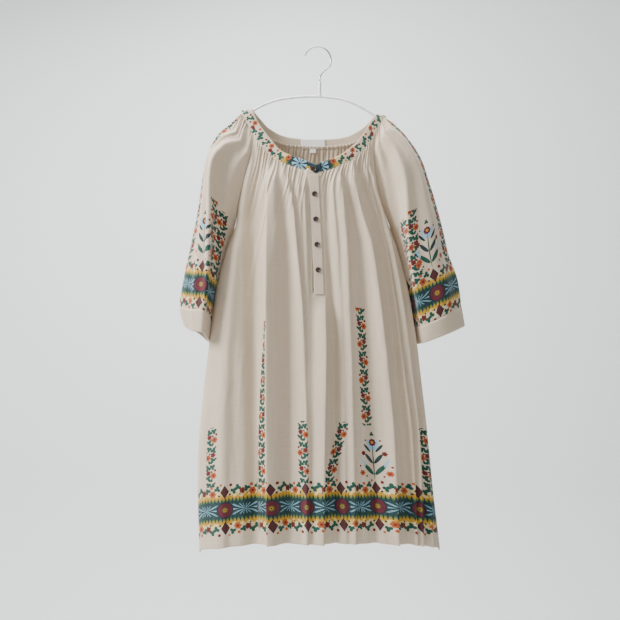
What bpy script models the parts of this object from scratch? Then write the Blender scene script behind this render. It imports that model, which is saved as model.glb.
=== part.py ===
"""Peasant dress on a wire hanger, hung by its hook.

The dress is made as it is sewn: a front and a back gathered into a neckband, raglan sleeves with plain
cuffs, a buttoned placket and two small tabs inside the neck. Sizes are in millimetres, turned to metres
where a mesh is made. The origin is the inside of the hook's top, +Z is up and the front faces -Y.
"""

import math

import bmesh
import bpy
import numpy as np
from mathutils import Matrix

MM = 0.001

# Cloth and seams
WALL = 1.4
BAND_WALL = 2.0
SEAM = 0.3
BAND_SEAM = 1.0
RAGLAN_SEAM = 1.0
CUFF_SEAM = 0.6
TAB_WALL = 1.0

# How finely each panel is divided
UNDERARM_LEVEL = 4
HEM_LEVEL = 11
ROWS_ABOVE_UNDERARM = 7
FRONT_ROWS_BELOW = 9
BACK_ROWS_BELOW = 7
FRONT_COLUMNS = 64
BACK_COLUMNS = 48
BAND_STATIONS = 88
SLEEVE_STEPS = 6
SLEEVE_ROWS_BELOW = 5
CUFF_ROWS = 1
EDGE_CELL = 3.0

# Gathers sewn into the neckband, and how far down they run as a share of the way to the underarm
FRONT_GATHERS = 16
BACK_GATHERS = 12
SLEEVE_GATHERS = 7
GATHER_HEIGHT = 2.3
GATHER_REACH = 1.15
GATHER_AT_SEAM = 0.35
GATHER_FULL_AT = 0.12
GATHER_UNEVEN = 0.35
GATHER_BEAT = 0.37
GATHER_BEAT_START = 0.8
SLEEVE_GATHER_SCALE = 1.2

# Neckband: a row for each place round the neck, from the front's middle past the left of the picture,
# round the back and home: upper edge, lower edge and depth
NECKBAND = (
    # upper_x, upper_z, lower_x, lower_z, depth
    (-3, -252, -3, -272, -38),
    (-49, -234, -59, -253, -33),
    (-76, -222, -91, -237, -28),
    (-102, -191, -124, -204, -20),
    (-122, -163, -142, -173, -12),
    (-135, -136, -155, -148, -6),
    (-138, -128, -158, -139, 0),
    (-134, -133, -153, -146, 6),
    (-120, -149, -136, -163, 11),
    (-100, -169, -109, -190, 13),
    (-64, -185, -68, -207, 16),
    (0, -190, 0, -212, 17),
    (55, -186, 60, -208, 16),
    (88, -172, 97, -193, 13),
    (107, -157, 120, -174, 11),
    (119, -143, 134, -154, 6),
    (123, -139, 139, -147, 0),
    (120, -145, 135, -156, -6),
    (112, -156, 127, -174, -12),
    (97, -183, 111, -201, -20),
    (76, -209, 88, -229, -28),
    (44, -233, 51, -252, -33),
    (-3, -252, -3, -272, -38),
)
# Depth of the lower edge over that of the upper edge
BAND_FLARE = 1.03
# Where the raglan seams meet the band, in rows of that table
FRONT_LEFT_RAGLAN = 3.4
BACK_LEFT_RAGLAN = 8.5
BACK_RIGHT_RAGLAN = 13.6
FRONT_RIGHT_RAGLAN = 18.4
RAGLAN_NECK_GAP = 0.05
LAP_ROWS = 0.2

# Body: a row for each level, from the neckband (0) past the underarm (4) to the hem (11)
BODY = (
    # left_x, left_z, right_x, right_z, back_rise, front_edge, back_edge, front_depth, back_depth, round_off
    (-135, -186, 119, -188, 18, -16, 10, -38, 17, 1.00),
    (-141, -235, 117, -222, 12, -20, 15, -44, 22, 1.00),
    (-153, -280, 121, -266, 8, -19, 16, -47, 26, 0.90),
    (-165, -333, 131, -321, 4, -12, 12, -48, 29, 0.70),
    (-173, -378, 150, -376, 0, -0.15, 0.15, -49, 31, 0.50),
    (-194, -437, 173, -441, 0, -0.15, 0.15, -50, 33, 0.45),
    (-214, -517, 192, -525, 0, -0.15, 0.15, -51, 35, 0.45),
    (-226, -613, 206, -613, 0, -0.15, 0.15, -52, 37, 0.45),
    (-239, -718, 218, -718, 0, -0.15, 0.15, -54, 39, 0.45),
    (-249, -827, 232, -827, 0, -0.15, 0.15, -55, 41, 0.45),
    (-251, -928, 242, -928, 0, -0.15, 0.15, -57, 43, 0.45),
    (-248, -1060, 257, -1055, 0, -0.15, 0.15, -59, 45, 0.45),
)
# Shape of the cross-section, and how much closer the columns stand at the two sides
SECTION_POWER = 2.4
SIDE_CROWDING = 0.35
# How far the hem's middle rises over its sides, and from which level down
HEM_RISE = 30.0
HEM_RISE_LEVEL = 7

# Heights at which a fold's place and height are given
FOLD_LEVELS = (-250, -420, -640, -1050)
# How far a fold leans sideways for its height, and how much narrower that side is
FOLD_LEAN_SHIFT = 0.35
FOLD_LEAN_NARROWING = 0.5
# Folds start at this level and fade out within this share of each side edge
FOLD_FULL_AT = 0.8
CALM_EDGE = 0.1
FRONT_FOLDS = (
    # x at neck, bust, waist, hem; height at neck, bust, waist, hem; half width; lean
    (-98, -98, -98, -98, 5, 8, 10, 9, 15, -0.8),
    (-120, -128, -130, -128, -5, -8, -9, -6, 17, 0.0),
    (-74, -50, -32, -20, 4, 6, 4, 2, 12, 0.3),
    (-60, -70, -64, -64, -1, -4, -6, -5, 14, 0.0),
    (-28, -24, -20, -24, 3, 3, 2, 2, 8, 0.0),
    (10, 12, 8, 8, 0, 1, 8, 7, 15, 0.8),
    (24, 26, 33, 36, -3, -5, -8, -6, 11, 0.0),
    (42, 59, 70, 78, 4, 6, 5, 4, 12, 0.2),
    (55, 83, 103, 120, -3, -5, -6, -6, 15, 0.0),
    (70, 107, 135, 161, 4, 7, 8, 8, 14, 0.6),
    (86, 131, 160, 188, -3, -5, -6, -5, 12, 0.0),
    (103, 152, 180, 212, 3, 6, 6, 5, 12, 0.4),
    (150, 180, 200, 234, 0, 0, 2, 6, 8, 0.3),
    (-150, -185, -195, -200, 0, 3, 5, 5, 38, 0.0),
)
BACK_FOLDS = (
    (-95, -112, -128, -150, 3, 6, 7, 7, 17, -0.3),
    (-70, -84, -98, -112, -3, -5, -6, -6, 15, 0.0),
    (-45, -50, -56, -66, 3, 6, 7, 6, 15, -0.3),
    (-20, -22, -22, -24, -3, -5, -6, -6, 15, 0.0),
    (5, 6, 8, 12, 3, 6, 7, 7, 15, 0.3),
    (30, 36, 42, 52, -3, -5, -6, -6, 15, 0.0),
    (55, 68, 80, 96, 3, 6, 7, 7, 16, 0.3),
    (78, 98, 114, 136, -3, -5, -6, -5, 15, 0.0),
    (98, 126, 148, 180, 2, 5, 6, 6, 17, 0.3),
)

# Sleeves: a row for each level, from the neckband to the sleeve's end and the cuff's end. The seam side
# follows the raglan seams down to the underarm (levels 1 to 4), then the underside seam
SLEEVE_LEFT = (
    # seam_x, seam_z, outer_x, outer_z, crease_x, crease_depth, face_x, face_depth, back_x, back_depth,
    # crease_lift, face_lift
    (-141, -235, -182, -161, -160, -27, -173, -17, -166, 16, 0, 0),
    (-153, -280, -211, -192, -196, -36, -206, -19, -190, 24, 0, 0),
    (-165, -333, -231, -241, -219, -46, -229, -25, -212, 31, 0, 0),
    (-173, -378, -249, -340, -222, -51, -240, -30, -222, 37, 0, 0),
    (-193, -434, -264, -415, -223, -54, -248, -33, -236, 39, 6, 2),
    (-212, -507, -279, -478, -225, -54, -257, -34, -248, 40, 14, 5),
    (-223, -585, -289, -545, -231, -52, -264, -34, -256, 38, 26, 10),
    (-228, -622, -279, -584, -235, -47, -262, -30, -254, 33, 17, 2),
)
SLEEVE_RIGHT = (
    (117, -222, 158, -159, 136, -28, 149, -18, 142, 16, 0, 0),
    (121, -266, 190, -193, 160, -37, 180, -24, 168, 24, 0, 0),
    (131, -321, 220, -244, 179, -45, 206, -31, 196, 31, 0, 0),
    (150, -376, 254, -348, 185, -48, 228, -39, 215, 37, 0, 0),
    (173, -438, 274, -428, 189, -48, 238, -43, 235, 39, 0, 0),
    (190, -512, 292, -482, 202, -45, 252, -42, 252, 39, 0, 0),
    (204, -591, 302, -544, 217, -39, 262, -41, 262, 37, 0, 0),
    (209, -624, 309, -585, 223, -35, 266, -38, 266, 34, 0, 0),
)
SLEEVE_END_LEVEL = 7
CUFF_END_LEVEL = 8
SEAM_STEP_OUT = 1.2

# Placket and buttons
PLACKET_HALF_WIDTH = 10.0
PLACKET_UNDER_HALF_WIDTH = 8.0
PLACKET_TOP = (-8.0, -274.0)
PLACKET_END = (3.5, -520.0)
PLACKET_COLUMNS = 4
PLACKET_ROWS = 14
PLACKET_EASE = 0.3
SLIT_END_Z = -512.0
# The front lies flat this far each side of the placket and below it, then the folds come back
FLAT_HALF_WIDTH = 12.0
FLAT_FADE = 10.0
FLAT_BELOW = 10.0
FLAT_FADE_BELOW = 60.0
FLAT_DEPTHS = (-41.5, -50.5)
BUTTON_SPACING = 52.0
FIRST_BUTTON_Z = -314.0
PLACKET_BUTTONS = 4
BAND_BUTTON = (-8.0, -262.0)
BUTTON_RADIUS = 5.6
BUTTON_THICK = 2.2
BUTTON_SIDES = 16
BUTTON_LIFT = 0.48

# Tabs inside the back of the neckband
LABEL_SIZE = (51.0, 20.0)
LABEL_MIDDLE = (-9.0, -200.0)
SIZE_TAB_SIZE = (13.0, 9.0)
SIZE_TAB_MIDDLE = (-9.5, -214.8)
BACK_BAND_DEPTH = 17.0

# Hanger
WIRE_RADIUS = 2.35
ARM_POINTS = (
    (-195, -182), (-165, -156.5), (-133, -131.5), (-95, -114), (-55, -106), (-12, -103.5),
    (30, -106), (60, -112), (89, -124.5), (119, -142.5), (148, -161), (177, -185),
)
HOOK_WIRE_RADIUS = 1.6
HOOK_RADIUS = 28.5
HOOK_TIP_ANGLE = 163.0
HOOK_LEAVE_ANGLE = -32.0
HOOK_STEPS = 22
HOOK_NECK = ((15.5, -48.0), (8.5, -56.0), (5.0, -64.0), (5.0, -71.0))
STEM_X = 5.0
STEM_TOP = -71.3
STEM_RADIUS = 3.0
STEM_GAP = 0.45
CURVE_STEPS = 3

# Points nearer than this are one point
MERGE = 0.01


def clear_scene():
    for obj in list(bpy.data.objects):
        bpy.data.objects.remove(obj, do_unlink=True)


def make_material(name, colour, roughness, metallic=0.0):
    made = bpy.data.materials.new(name)
    made.use_nodes = True
    shader = made.node_tree.nodes["Principled BSDF"]
    shader.inputs["Base Color"].default_value = (*colour, 1.0)
    shader.inputs["Roughness"].default_value = roughness
    shader.inputs["Metallic"].default_value = metallic
    return made


def on_rows(rows, at):
    """Values at fractional row numbers, on a smooth curve through every row."""
    rows = np.asarray(rows, float)
    at = np.clip(np.asarray(at, float), 0, len(rows) - 1)
    first = np.minimum(at.astype(int), len(rows) - 2)
    t = (at - first)[..., None]
    slopes = np.gradient(rows, axis=0)
    start = (1 + 2 * t) * (1 - t) ** 2 * rows[first] + t * (1 - t) ** 2 * slopes[first]
    end = t * t * (3 - 2 * t) * rows[first + 1] + t * t * (t - 1) * slopes[first + 1]
    return start + end


def unit(vectors):
    return vectors / np.linalg.norm(vectors, axis=-1, keepdims=True)


def smooth_step(value):
    value = np.clip(value, 0, 1)
    return value * value * (3 - 2 * value)


def grid_normals(grid):
    down, across = np.gradient(grid, axis=(0, 1))
    return unit(np.cross(across, down))


def band_edges(at):
    """Upper and lower edge of the neckband, at fractional rows of its table."""
    upper_x, upper_z, lower_x, lower_z, depth = np.moveaxis(on_rows(NECKBAND, at), -1, 0)
    upper = np.stack([upper_x, depth, upper_z], axis=-1)
    lower = np.stack([lower_x, depth * BAND_FLARE, lower_z], axis=-1)
    return upper, lower


def below_band(at):
    """Just under the neckband's lower edge, where the panels' top edges lie."""
    upper, lower = band_edges(at)
    return lower + BAND_SEAM * unit(lower - upper)


def raglan_point(left, back, level):
    """A point of the front's or the back's side edge: the raglan seam, then the side seam."""
    if back:
        station = BACK_LEFT_RAGLAN if left else BACK_RIGHT_RAGLAN
    else:
        station = FRONT_LEFT_RAGLAN if left else FRONT_RIGHT_RAGLAN
    rows = [below_band(np.array(station))]
    for left_x, left_z, right_x, right_z, rise, front_edge, back_edge in (row[:7] for row in BODY[1:]):
        x, z = (left_x, left_z) if left else (right_x, right_z)
        rows.append((x, back_edge if back else front_edge, z + (rise if back else 0)))
    point = on_rows(rows, level)
    if level >= UNDERARM_LEVEL:
        point[1] = SEAM / 2 if back else -SEAM / 2
    return point


def arc_share(line):
    """How far along a line each of its points lies, from 0 to 1."""
    steps = np.linalg.norm(np.diff(line, axis=0), axis=1)
    length = np.concatenate([[0.0], np.cumsum(steps)])
    return length / length[-1]


def pin_ends(line, start, end):
    """The row moved so that its ends lie on two seams, by less and less towards its middle."""
    share = arc_share(line)[:, None]
    return line + (start - line[0]) * (1 - share) ** 3 + (end - line[-1]) * share ** 3


def even_fractions(line, count):
    """Places along a line, evenly spaced but for a short first and last cell."""
    steps = np.linalg.norm(np.diff(line, axis=0), axis=1)
    length = np.concatenate([[0.0], np.cumsum(steps)])
    inner = np.linspace(EDGE_CELL, length[-1] - EDGE_CELL, count - 1)
    wanted = np.concatenate([[0.0], inner, [length[-1]]])
    return np.stack([np.interp(wanted, length, line[:, axis]) for axis in range(3)], axis=-1)


def gather_ripple(columns, gathers, level):
    """Height of the small gathers under the neckband."""
    phase = np.linspace(0, 1, columns + 1) * gathers * 2 * math.pi
    down = level / UNDERARM_LEVEL
    strength = GATHER_AT_SEAM + smooth_step(down / GATHER_FULL_AT)
    strength *= 1 - smooth_step(down / GATHER_REACH)
    uneven = 1 + GATHER_UNEVEN * np.sin(phase * GATHER_BEAT + GATHER_BEAT_START)
    return GATHER_HEIGHT * strength * uneven * np.cos(phase)


def fold_moves(x, z, folds):
    """How far the folds push the cloth sideways and out of its plane."""
    sideways = np.zeros_like(x)
    outwards = np.zeros_like(x)
    for row in folds:
        places, heights, half_width, lean = row[0:4], row[4:8], row[8], row[9]
        middle = np.interp(-z, [-level for level in FOLD_LEVELS], places)
        height = np.interp(-z, [-level for level in FOLD_LEVELS], heights)
        away = x - middle
        narrow = half_width * (1 - FOLD_LEAN_NARROWING * abs(lean))
        width = np.where(away * lean > 0, narrow, half_width)
        bump = height * np.exp(-((away / width) ** 2))
        outwards += bump
        sideways += FOLD_LEAN_SHIFT * lean * bump
    return sideways, outwards


def body_levels(rows_below):
    above = np.linspace(0, UNDERARM_LEVEL, ROWS_ABOVE_UNDERARM + 1)
    below = np.linspace(UNDERARM_LEVEL, HEM_LEVEL, rows_below + 1)
    return np.concatenate([above, below[1:]])


def body_panel(back, columns, rows_below, gathers, folds):
    """Points of the front or the back, a row for each level and a column for each place across."""
    if back:
        band_rows = np.linspace(BACK_LEFT_RAGLAN, BACK_RIGHT_RAGLAN, 401)
    else:
        last = len(NECKBAND) - 1
        left = np.linspace(FRONT_LEFT_RAGLAN, 0, 201)
        band_rows = np.concatenate([left, np.linspace(last, FRONT_RIGHT_RAGLAN, 201)[1:]])
    neck = below_band(band_rows)
    share = np.linspace(0, 1, len(neck))
    neck = np.stack([np.interp(share, arc_share(neck), neck[:, axis]) for axis in range(3)], axis=-1)
    s = -np.cos(share * math.pi) * SIDE_CROWDING + (2 * share - 1) * (1 - SIDE_CROWDING)
    outward = 1.0 if back else -1.0
    rows = []
    for level in body_levels(rows_below):
        values = on_rows(BODY, level)
        left_x, left_z, right_x, right_z, rise, front_edge, back_edge = values[:7]
        front_mid, back_mid, round_off = values[7:]
        edge_y, mid_y = (back_edge, back_mid) if back else (front_edge, front_mid)
        crown = np.clip(1 - np.abs(s) ** SECTION_POWER, 0, 1) ** round_off
        line = np.stack(
            [
                left_x + (right_x - left_x) * (s + 1) / 2,
                edge_y + (mid_y - edge_y) * crown,
                left_z + (right_z - left_z) * (s + 1) / 2 + (rise if back else 0),
            ],
            axis=-1,
        )
        if level == 0:
            pull = neck - line
        line = line + pull * max(0.0, 1 - level / UNDERARM_LEVEL)
        if not back:
            shift = placket_middle(line[len(line) // 2, 2]) - line[len(line) // 2, 0]
            line[:, 0] += shift * min(1.0, level) * (1 - s * s) ** 2
        hem_share = smooth_step((level - HEM_RISE_LEVEL) / (HEM_LEVEL - HEM_RISE_LEVEL))
        line[:, 2] += HEM_RISE * hem_share * crown
        line = pin_ends(line, raglan_point(True, back, level), raglan_point(False, back, level))
        line = even_fractions(line, columns)
        from_edge = 1 - np.abs(np.linspace(-1, 1, columns + 1))
        calm = smooth_step(from_edge / CALM_EDGE)
        sideways, outwards = fold_moves(line[:, 0], line[:, 2], folds)
        fold_share = calm * smooth_step(level / FOLD_FULL_AT)
        line[:, 0] += sideways * fold_share
        line[:, 1] += outward * outwards * fold_share
        line[:, 1] += outward * gather_ripple(columns, gathers, level) * calm
        if not back:
            line = flatten_under_placket(line)
        rows.append(line)
    return np.array(rows)


def placket_middle(z):
    return np.interp(-z, [-PLACKET_TOP[1], -PLACKET_END[1]], [PLACKET_TOP[0], PLACKET_END[0]])


def flatten_under_placket(line):
    """The placket's double cloth holds the front smooth beneath it."""
    away = np.abs(line[:, 0] - placket_middle(line[:, 2]))
    inside = 1 - smooth_step((away - FLAT_HALF_WIDTH) / FLAT_FADE)
    inside *= 1 - smooth_step((PLACKET_END[1] + FLAT_BELOW - line[:, 2]) / FLAT_FADE_BELOW)
    middle_z = line[np.argmin(away), 2]
    wanted = np.interp(-middle_z, (-PLACKET_TOP[1], -PLACKET_END[1]), FLAT_DEPTHS)
    line[:, 1] = line[:, 1] * (1 - inside) + wanted * inside
    return line


def sleeve_ring(table, level, left):
    """Six corner points round the sleeve at one level, from the front seam round to the back seam."""
    values = on_rows(table, level - 1)
    outer_x, outer_z, crease_x, crease_y, face_x, face_y, back_x, back_y, crease_lift, face_lift = values[2:]
    front_seam = sleeve_seam_point(table, left, False, level)
    back_seam = sleeve_seam_point(table, left, True, level)

    def height(x, seam):
        return seam[2] + (outer_z - seam[2]) * (x - seam[0]) / (outer_x - seam[0])

    return np.array(
        [
            front_seam,
            (crease_x, crease_y, height(crease_x, front_seam) + crease_lift),
            (face_x, face_y, height(face_x, front_seam) + face_lift),
            (outer_x, 0.0, outer_z),
            (back_x, back_y, height(back_x, back_seam)),
            back_seam,
        ]
    )


def sleeve_seam_point(table, left, back, level):
    """The sleeve's edge: just outside the body's raglan seam, then along its own underside seam."""
    outward = -1 if left else 1
    if level > UNDERARM_LEVEL:
        x, z = on_rows(table, level - 1)[:2]
        return np.array((x + outward * (RAGLAN_SEAM + SEAM_STEP_OUT), 0.0, z))
    point = raglan_point(left, back, level)
    step = RAGLAN_SEAM + SEAM_STEP_OUT * smooth_step((level - 1) / (UNDERARM_LEVEL - 1))
    point[0] += outward * step
    if level >= UNDERARM_LEVEL:
        point[1] = 0.0
    return point


def sleeve_panel(table, left):
    """Points of a sleeve and, in the last rows, of its cuff."""
    columns = 5 * SLEEVE_STEPS
    if left:
        first, last = FRONT_LEFT_RAGLAN + RAGLAN_NECK_GAP, BACK_LEFT_RAGLAN - RAGLAN_NECK_GAP
    else:
        first, last = FRONT_RIGHT_RAGLAN - RAGLAN_NECK_GAP, BACK_RIGHT_RAGLAN + RAGLAN_NECK_GAP
    neck = below_band(np.linspace(first, last, columns + 1))
    levels = np.concatenate(
        [
            np.linspace(0, UNDERARM_LEVEL, ROWS_ABOVE_UNDERARM + 1)[1:],
            np.linspace(UNDERARM_LEVEL, SLEEVE_END_LEVEL, SLEEVE_ROWS_BELOW + 1)[1:],
            np.linspace(SLEEVE_END_LEVEL, CUFF_END_LEVEL, CUFF_ROWS + 1)[1:],
        ]
    )
    around = np.linspace(0, 5, columns + 1)
    first_ring = on_rows(sleeve_ring(table, 1, left), around)
    rows = [neck]
    for level in levels:
        if level < 1:
            ring = neck + (first_ring - neck) * level
            front_seam = sleeve_seam_point(table, left, False, level)
            ring = pin_ends(ring, front_seam, sleeve_seam_point(table, left, True, level))
        else:
            ring = on_rows(sleeve_ring(table, level, left), around)
        rows.append(ring)
    grid = np.array(rows)
    normals = grid_normals(grid) * (-1 if left else 1)
    calm = np.sin(np.linspace(0, math.pi, columns + 1)) ** 0.5
    for row, level in enumerate(np.concatenate([[0.0], levels])):
        ripple = gather_ripple(columns, SLEEVE_GATHERS, level) * calm * SLEEVE_GATHER_SCALE
        grid[row] += normals[row] * ripple[:, None]
    grid[ROWS_ABOVE_UNDERARM:, -1] = grid[ROWS_ABOVE_UNDERARM:, 0]
    return grid


def to_object(mesh, name, material, collection):
    obj = bpy.data.objects.new(name, mesh)
    obj.data.materials.append(material)
    collection.objects.link(obj)
    return obj


def sheet_object(name, grid, wall, material, collection, skip=None):
    """A sheet of cloth through a grid of points, given its thickness by a Solidify modifier."""
    rows, columns = grid.shape[0] - 1, grid.shape[1] - 1
    bm = bmesh.new()
    bmesh.ops.create_grid(bm, x_segments=columns, y_segments=rows, size=0.5)
    if skip:
        cut = []
        for face in bm.faces:
            middle = face.calc_center_median()
            column = (middle.x + 0.5) * columns
            row = (0.5 - middle.y) * rows
            if skip(column, row):
                cut.append(face)
        bmesh.ops.delete(bm, geom=cut, context="FACES")
    for vert in bm.verts:
        column = round((vert.co.x + 0.5) * columns)
        row = round((0.5 - vert.co.y) * rows)
        vert.co = grid[row, column] * MM
    bmesh.ops.remove_doubles(bm, verts=bm.verts, dist=MERGE * MM)
    mesh = bpy.data.meshes.new(name)
    bm.to_mesh(mesh)
    bm.free()
    mesh.shade_smooth()
    obj = to_object(mesh, name, material, collection)
    thicken = obj.modifiers.new("cloth thickness", "SOLIDIFY")
    thicken.thickness = wall * MM
    thicken.offset = 0.0
    thicken.use_even_offset = False
    return obj


def depth_on(grid, x, z):
    """Depth of a panel's middle surface under a point given by x and z."""
    heights = [np.interp(x, row[:, 0], row[:, 2]) for row in grid]
    depths = [np.interp(x, row[:, 0], row[:, 1]) for row in grid]
    return np.interp(-z, [-height for height in heights], depths)


def placket_strip(front, half_width, lift):
    """A strip that follows the front's middle, moved out by its lift."""
    rows = []
    for share in np.linspace(0, 1, PLACKET_ROWS + 1):
        z = PLACKET_TOP[1] + (PLACKET_END[1] - PLACKET_TOP[1]) * share
        middle = placket_middle(z)
        xs = middle + np.linspace(-half_width, half_width, PLACKET_COLUMNS + 1)
        rows.append([(x, depth_on(front, x, z) - lift, z) for x in xs])
    return np.array(rows)


def button_mesh():
    """A turned button with a raised rim, lying in the XY plane with its back at z = 0."""
    profile = (
        (0.0, 0.62), (0.62, 0.62), (0.8, 1.0), (1.0, 0.75), (0.9, 0.0), (0.0, 0.0),
    )
    bm = bmesh.new()
    verts = [bm.verts.new((r * BUTTON_RADIUS * MM, 0.0, h * BUTTON_THICK * MM)) for r, h in profile]
    edges = [bm.edges.new(pair) for pair in zip(verts, verts[1:])]
    bmesh.ops.spin(
        bm, geom=verts + edges, cent=(0, 0, 0), axis=(0, 0, 1), dvec=(0, 0, 0),
        angle=2 * math.pi, steps=BUTTON_SIDES, use_merge=True,
    )
    bmesh.ops.remove_doubles(bm, verts=bm.verts, dist=MERGE * MM)
    bmesh.ops.recalc_face_normals(bm, faces=bm.faces)
    mesh = bpy.data.meshes.new("button")
    bm.to_mesh(mesh)
    bm.free()
    mesh.shade_smooth()
    return mesh


def wire_object(name, points, radius, material, collection, resolution=2):
    """A round wire through points, as a poly curve with filled caps."""
    curve = bpy.data.curves.new(name, "CURVE")
    curve.dimensions = "3D"
    curve.bevel_depth = radius * MM
    curve.bevel_resolution = resolution
    curve.use_fill_caps = True
    spline = curve.splines.new("POLY")
    spline.points.add(len(points) - 1)
    for target, (x, z) in zip(spline.points, points):
        target.co = (x * MM, 0.0, z * MM, 1.0)
    return to_object(curve, name, material, collection)


def build_dress(collection, cloth, printed_band, dark, white):
    front = body_panel(False, FRONT_COLUMNS, FRONT_ROWS_BELOW, FRONT_GATHERS, FRONT_FOLDS)
    back = body_panel(True, BACK_COLUMNS, BACK_ROWS_BELOW, BACK_GATHERS, BACK_FOLDS)
    middle_column = FRONT_COLUMNS // 2
    slit_rows = sum(front[:, middle_column, 2] > SLIT_END_Z)

    def in_slit(column, row):
        return row < slit_rows - 1 and middle_column < column < middle_column + 1

    sheet_object("front", front, WALL, cloth, collection, skip=in_slit)
    sheet_object("back", back, WALL, cloth, collection)
    for side, table in (("left", SLEEVE_LEFT), ("right", SLEEVE_RIGHT)):
        whole = sleeve_panel(table, side == "left")
        sleeve, cuff = whole[:-CUFF_ROWS], whole[-CUFF_ROWS - 1:].copy()
        cuff[0] += CUFF_SEAM * unit(cuff[1] - cuff[0])
        sheet_object(f"sleeve_{side}", sleeve, WALL, cloth, collection)
        sheet_object(f"cuff_{side}", cuff, WALL, cloth, collection)
    build_neckband(collection, printed_band)
    lift = WALL + SEAM + PLACKET_EASE
    over = placket_strip(front, PLACKET_HALF_WIDTH, lift)
    under = placket_strip(front, PLACKET_UNDER_HALF_WIDTH, -lift)
    sheet_object("placket", over, WALL, cloth, collection)
    sheet_object("placket_under", under, WALL, cloth, collection)
    build_buttons(collection, dark, over)
    build_tabs(collection, white)


def build_neckband(collection, material):
    last = len(NECKBAND) - 1
    at = np.linspace(-LAP_ROWS, last, BAND_STATIONS + 1)
    upper, lower = band_edges(np.where(at < 0, at + last, at))
    lapped = smooth_step((LAP_ROWS - at) / LAP_ROWS)
    for edge in (upper, lower):
        edge[:, 1] -= (BAND_WALL + SEAM) * lapped
    sheet_object("neckband", np.array([upper, lower]), BAND_WALL, material, collection)


def build_buttons(collection, dark, placket):
    mesh = button_mesh()
    places = [BAND_BUTTON]
    for number in range(PLACKET_BUTTONS):
        z = FIRST_BUTTON_Z - BUTTON_SPACING * number
        places.append((placket_middle(z), z))
    for number, (x, z) in enumerate(places, start=1):
        if number == 1:
            depth = NECKBAND[0][4] - (BAND_WALL + SEAM) - BAND_WALL / 2 - SEAM
        else:
            depth = depth_on(placket, x, z) - WALL / 2
        button = bpy.data.objects.new(f"button_{number}", mesh)
        button.location = (x * MM, (depth - BUTTON_LIFT) * MM, z * MM)
        button.rotation_euler = (math.radians(90), 0.0, 0.0)
        if not mesh.materials:
            mesh.materials.append(dark)
        collection.objects.link(button)


def build_tabs(collection, white):
    """The bare label and the size tab, flat against the inside of the back neckband."""
    tabs = (("label", LABEL_SIZE, LABEL_MIDDLE), ("size_tab", SIZE_TAB_SIZE, SIZE_TAB_MIDDLE))
    for name, (width, height), (x, z) in tabs:
        depth = BACK_BAND_DEPTH - BAND_WALL / 2 - SEAM - TAB_WALL
        bpy.ops.mesh.primitive_cube_add(size=1, location=(x * MM, depth * MM, z * MM))
        tab = bpy.context.active_object
        tab.name = name
        tab.data.transform(Matrix.Diagonal((width * MM, TAB_WALL * MM, height * MM, 1.0)))
        tab.data.materials.append(white)
        move_to(tab, collection)


def move_to(obj, collection):
    for owner in list(obj.users_collection):
        owner.objects.unlink(obj)
    collection.objects.link(obj)


def build_hanger(collection, coated, chrome):
    arms = on_rows(ARM_POINTS, np.linspace(0, len(ARM_POINTS) - 1, CURVE_STEPS * (len(ARM_POINTS) - 1) + 1))
    wire_object("hanger_bar", arms, WIRE_RADIUS, coated, collection)
    angles = np.radians(np.linspace(HOOK_TIP_ANGLE, HOOK_LEAVE_ANGLE, HOOK_STEPS + 1))
    middle_z = HOOK_WIRE_RADIUS - HOOK_RADIUS
    circle = [(HOOK_RADIUS * math.cos(a), middle_z + HOOK_RADIUS * math.sin(a)) for a in angles]
    neck = on_rows((circle[-1],) + HOOK_NECK, np.linspace(0, len(HOOK_NECK), CURVE_STEPS * len(HOOK_NECK) + 1))
    wire_object("hanger_hook", circle + [tuple(p) for p in neck[1:]], HOOK_WIRE_RADIUS, chrome, collection)
    arm_height = np.interp(STEM_X, arms[:, 0], arms[:, 1])
    stem_foot = arm_height + WIRE_RADIUS + STEM_GAP
    wire_object(
        "hanger_stem", ((STEM_X, STEM_TOP), (STEM_X, stem_foot)), STEM_RADIUS, coated, collection, resolution=3
    )


def main():
    clear_scene()
    collection = bpy.data.collections.new("peasant_dress_on_hanger")
    bpy.context.scene.collection.children.link(collection)
    cloth = make_material("ecru cotton", (0.68, 0.62, 0.55), 0.9)
    printed_band = make_material("printed cotton band", (0.35, 0.32, 0.22), 0.9)
    dark = make_material("dark brown button", (0.05, 0.035, 0.03), 0.35)
    white = make_material("white woven tab", (0.8, 0.8, 0.78), 0.8)
    coated = make_material("white coated wire", (0.85, 0.85, 0.85), 0.4)
    chrome = make_material("plated hook wire", (0.6, 0.6, 0.62), 0.25, 1.0)
    build_dress(collection, cloth, printed_band, dark, white)
    build_hanger(collection, coated, chrome)


main()
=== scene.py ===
"""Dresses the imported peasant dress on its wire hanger: gathered cotton, its print, stitching and buttons.

Sizes are in millimetres unless a name or a comment says otherwise, and are turned to metres where a mesh
is made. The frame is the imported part's own: the origin inside the hook's top, +Z up, the front facing -Y.
"""

import logging
import math
from collections.abc import Callable, Iterable
from dataclasses import dataclass, field
from enum import Enum

import bmesh
import bpy
import numpy as np
from mathutils import Matrix, Vector, noise


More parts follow.
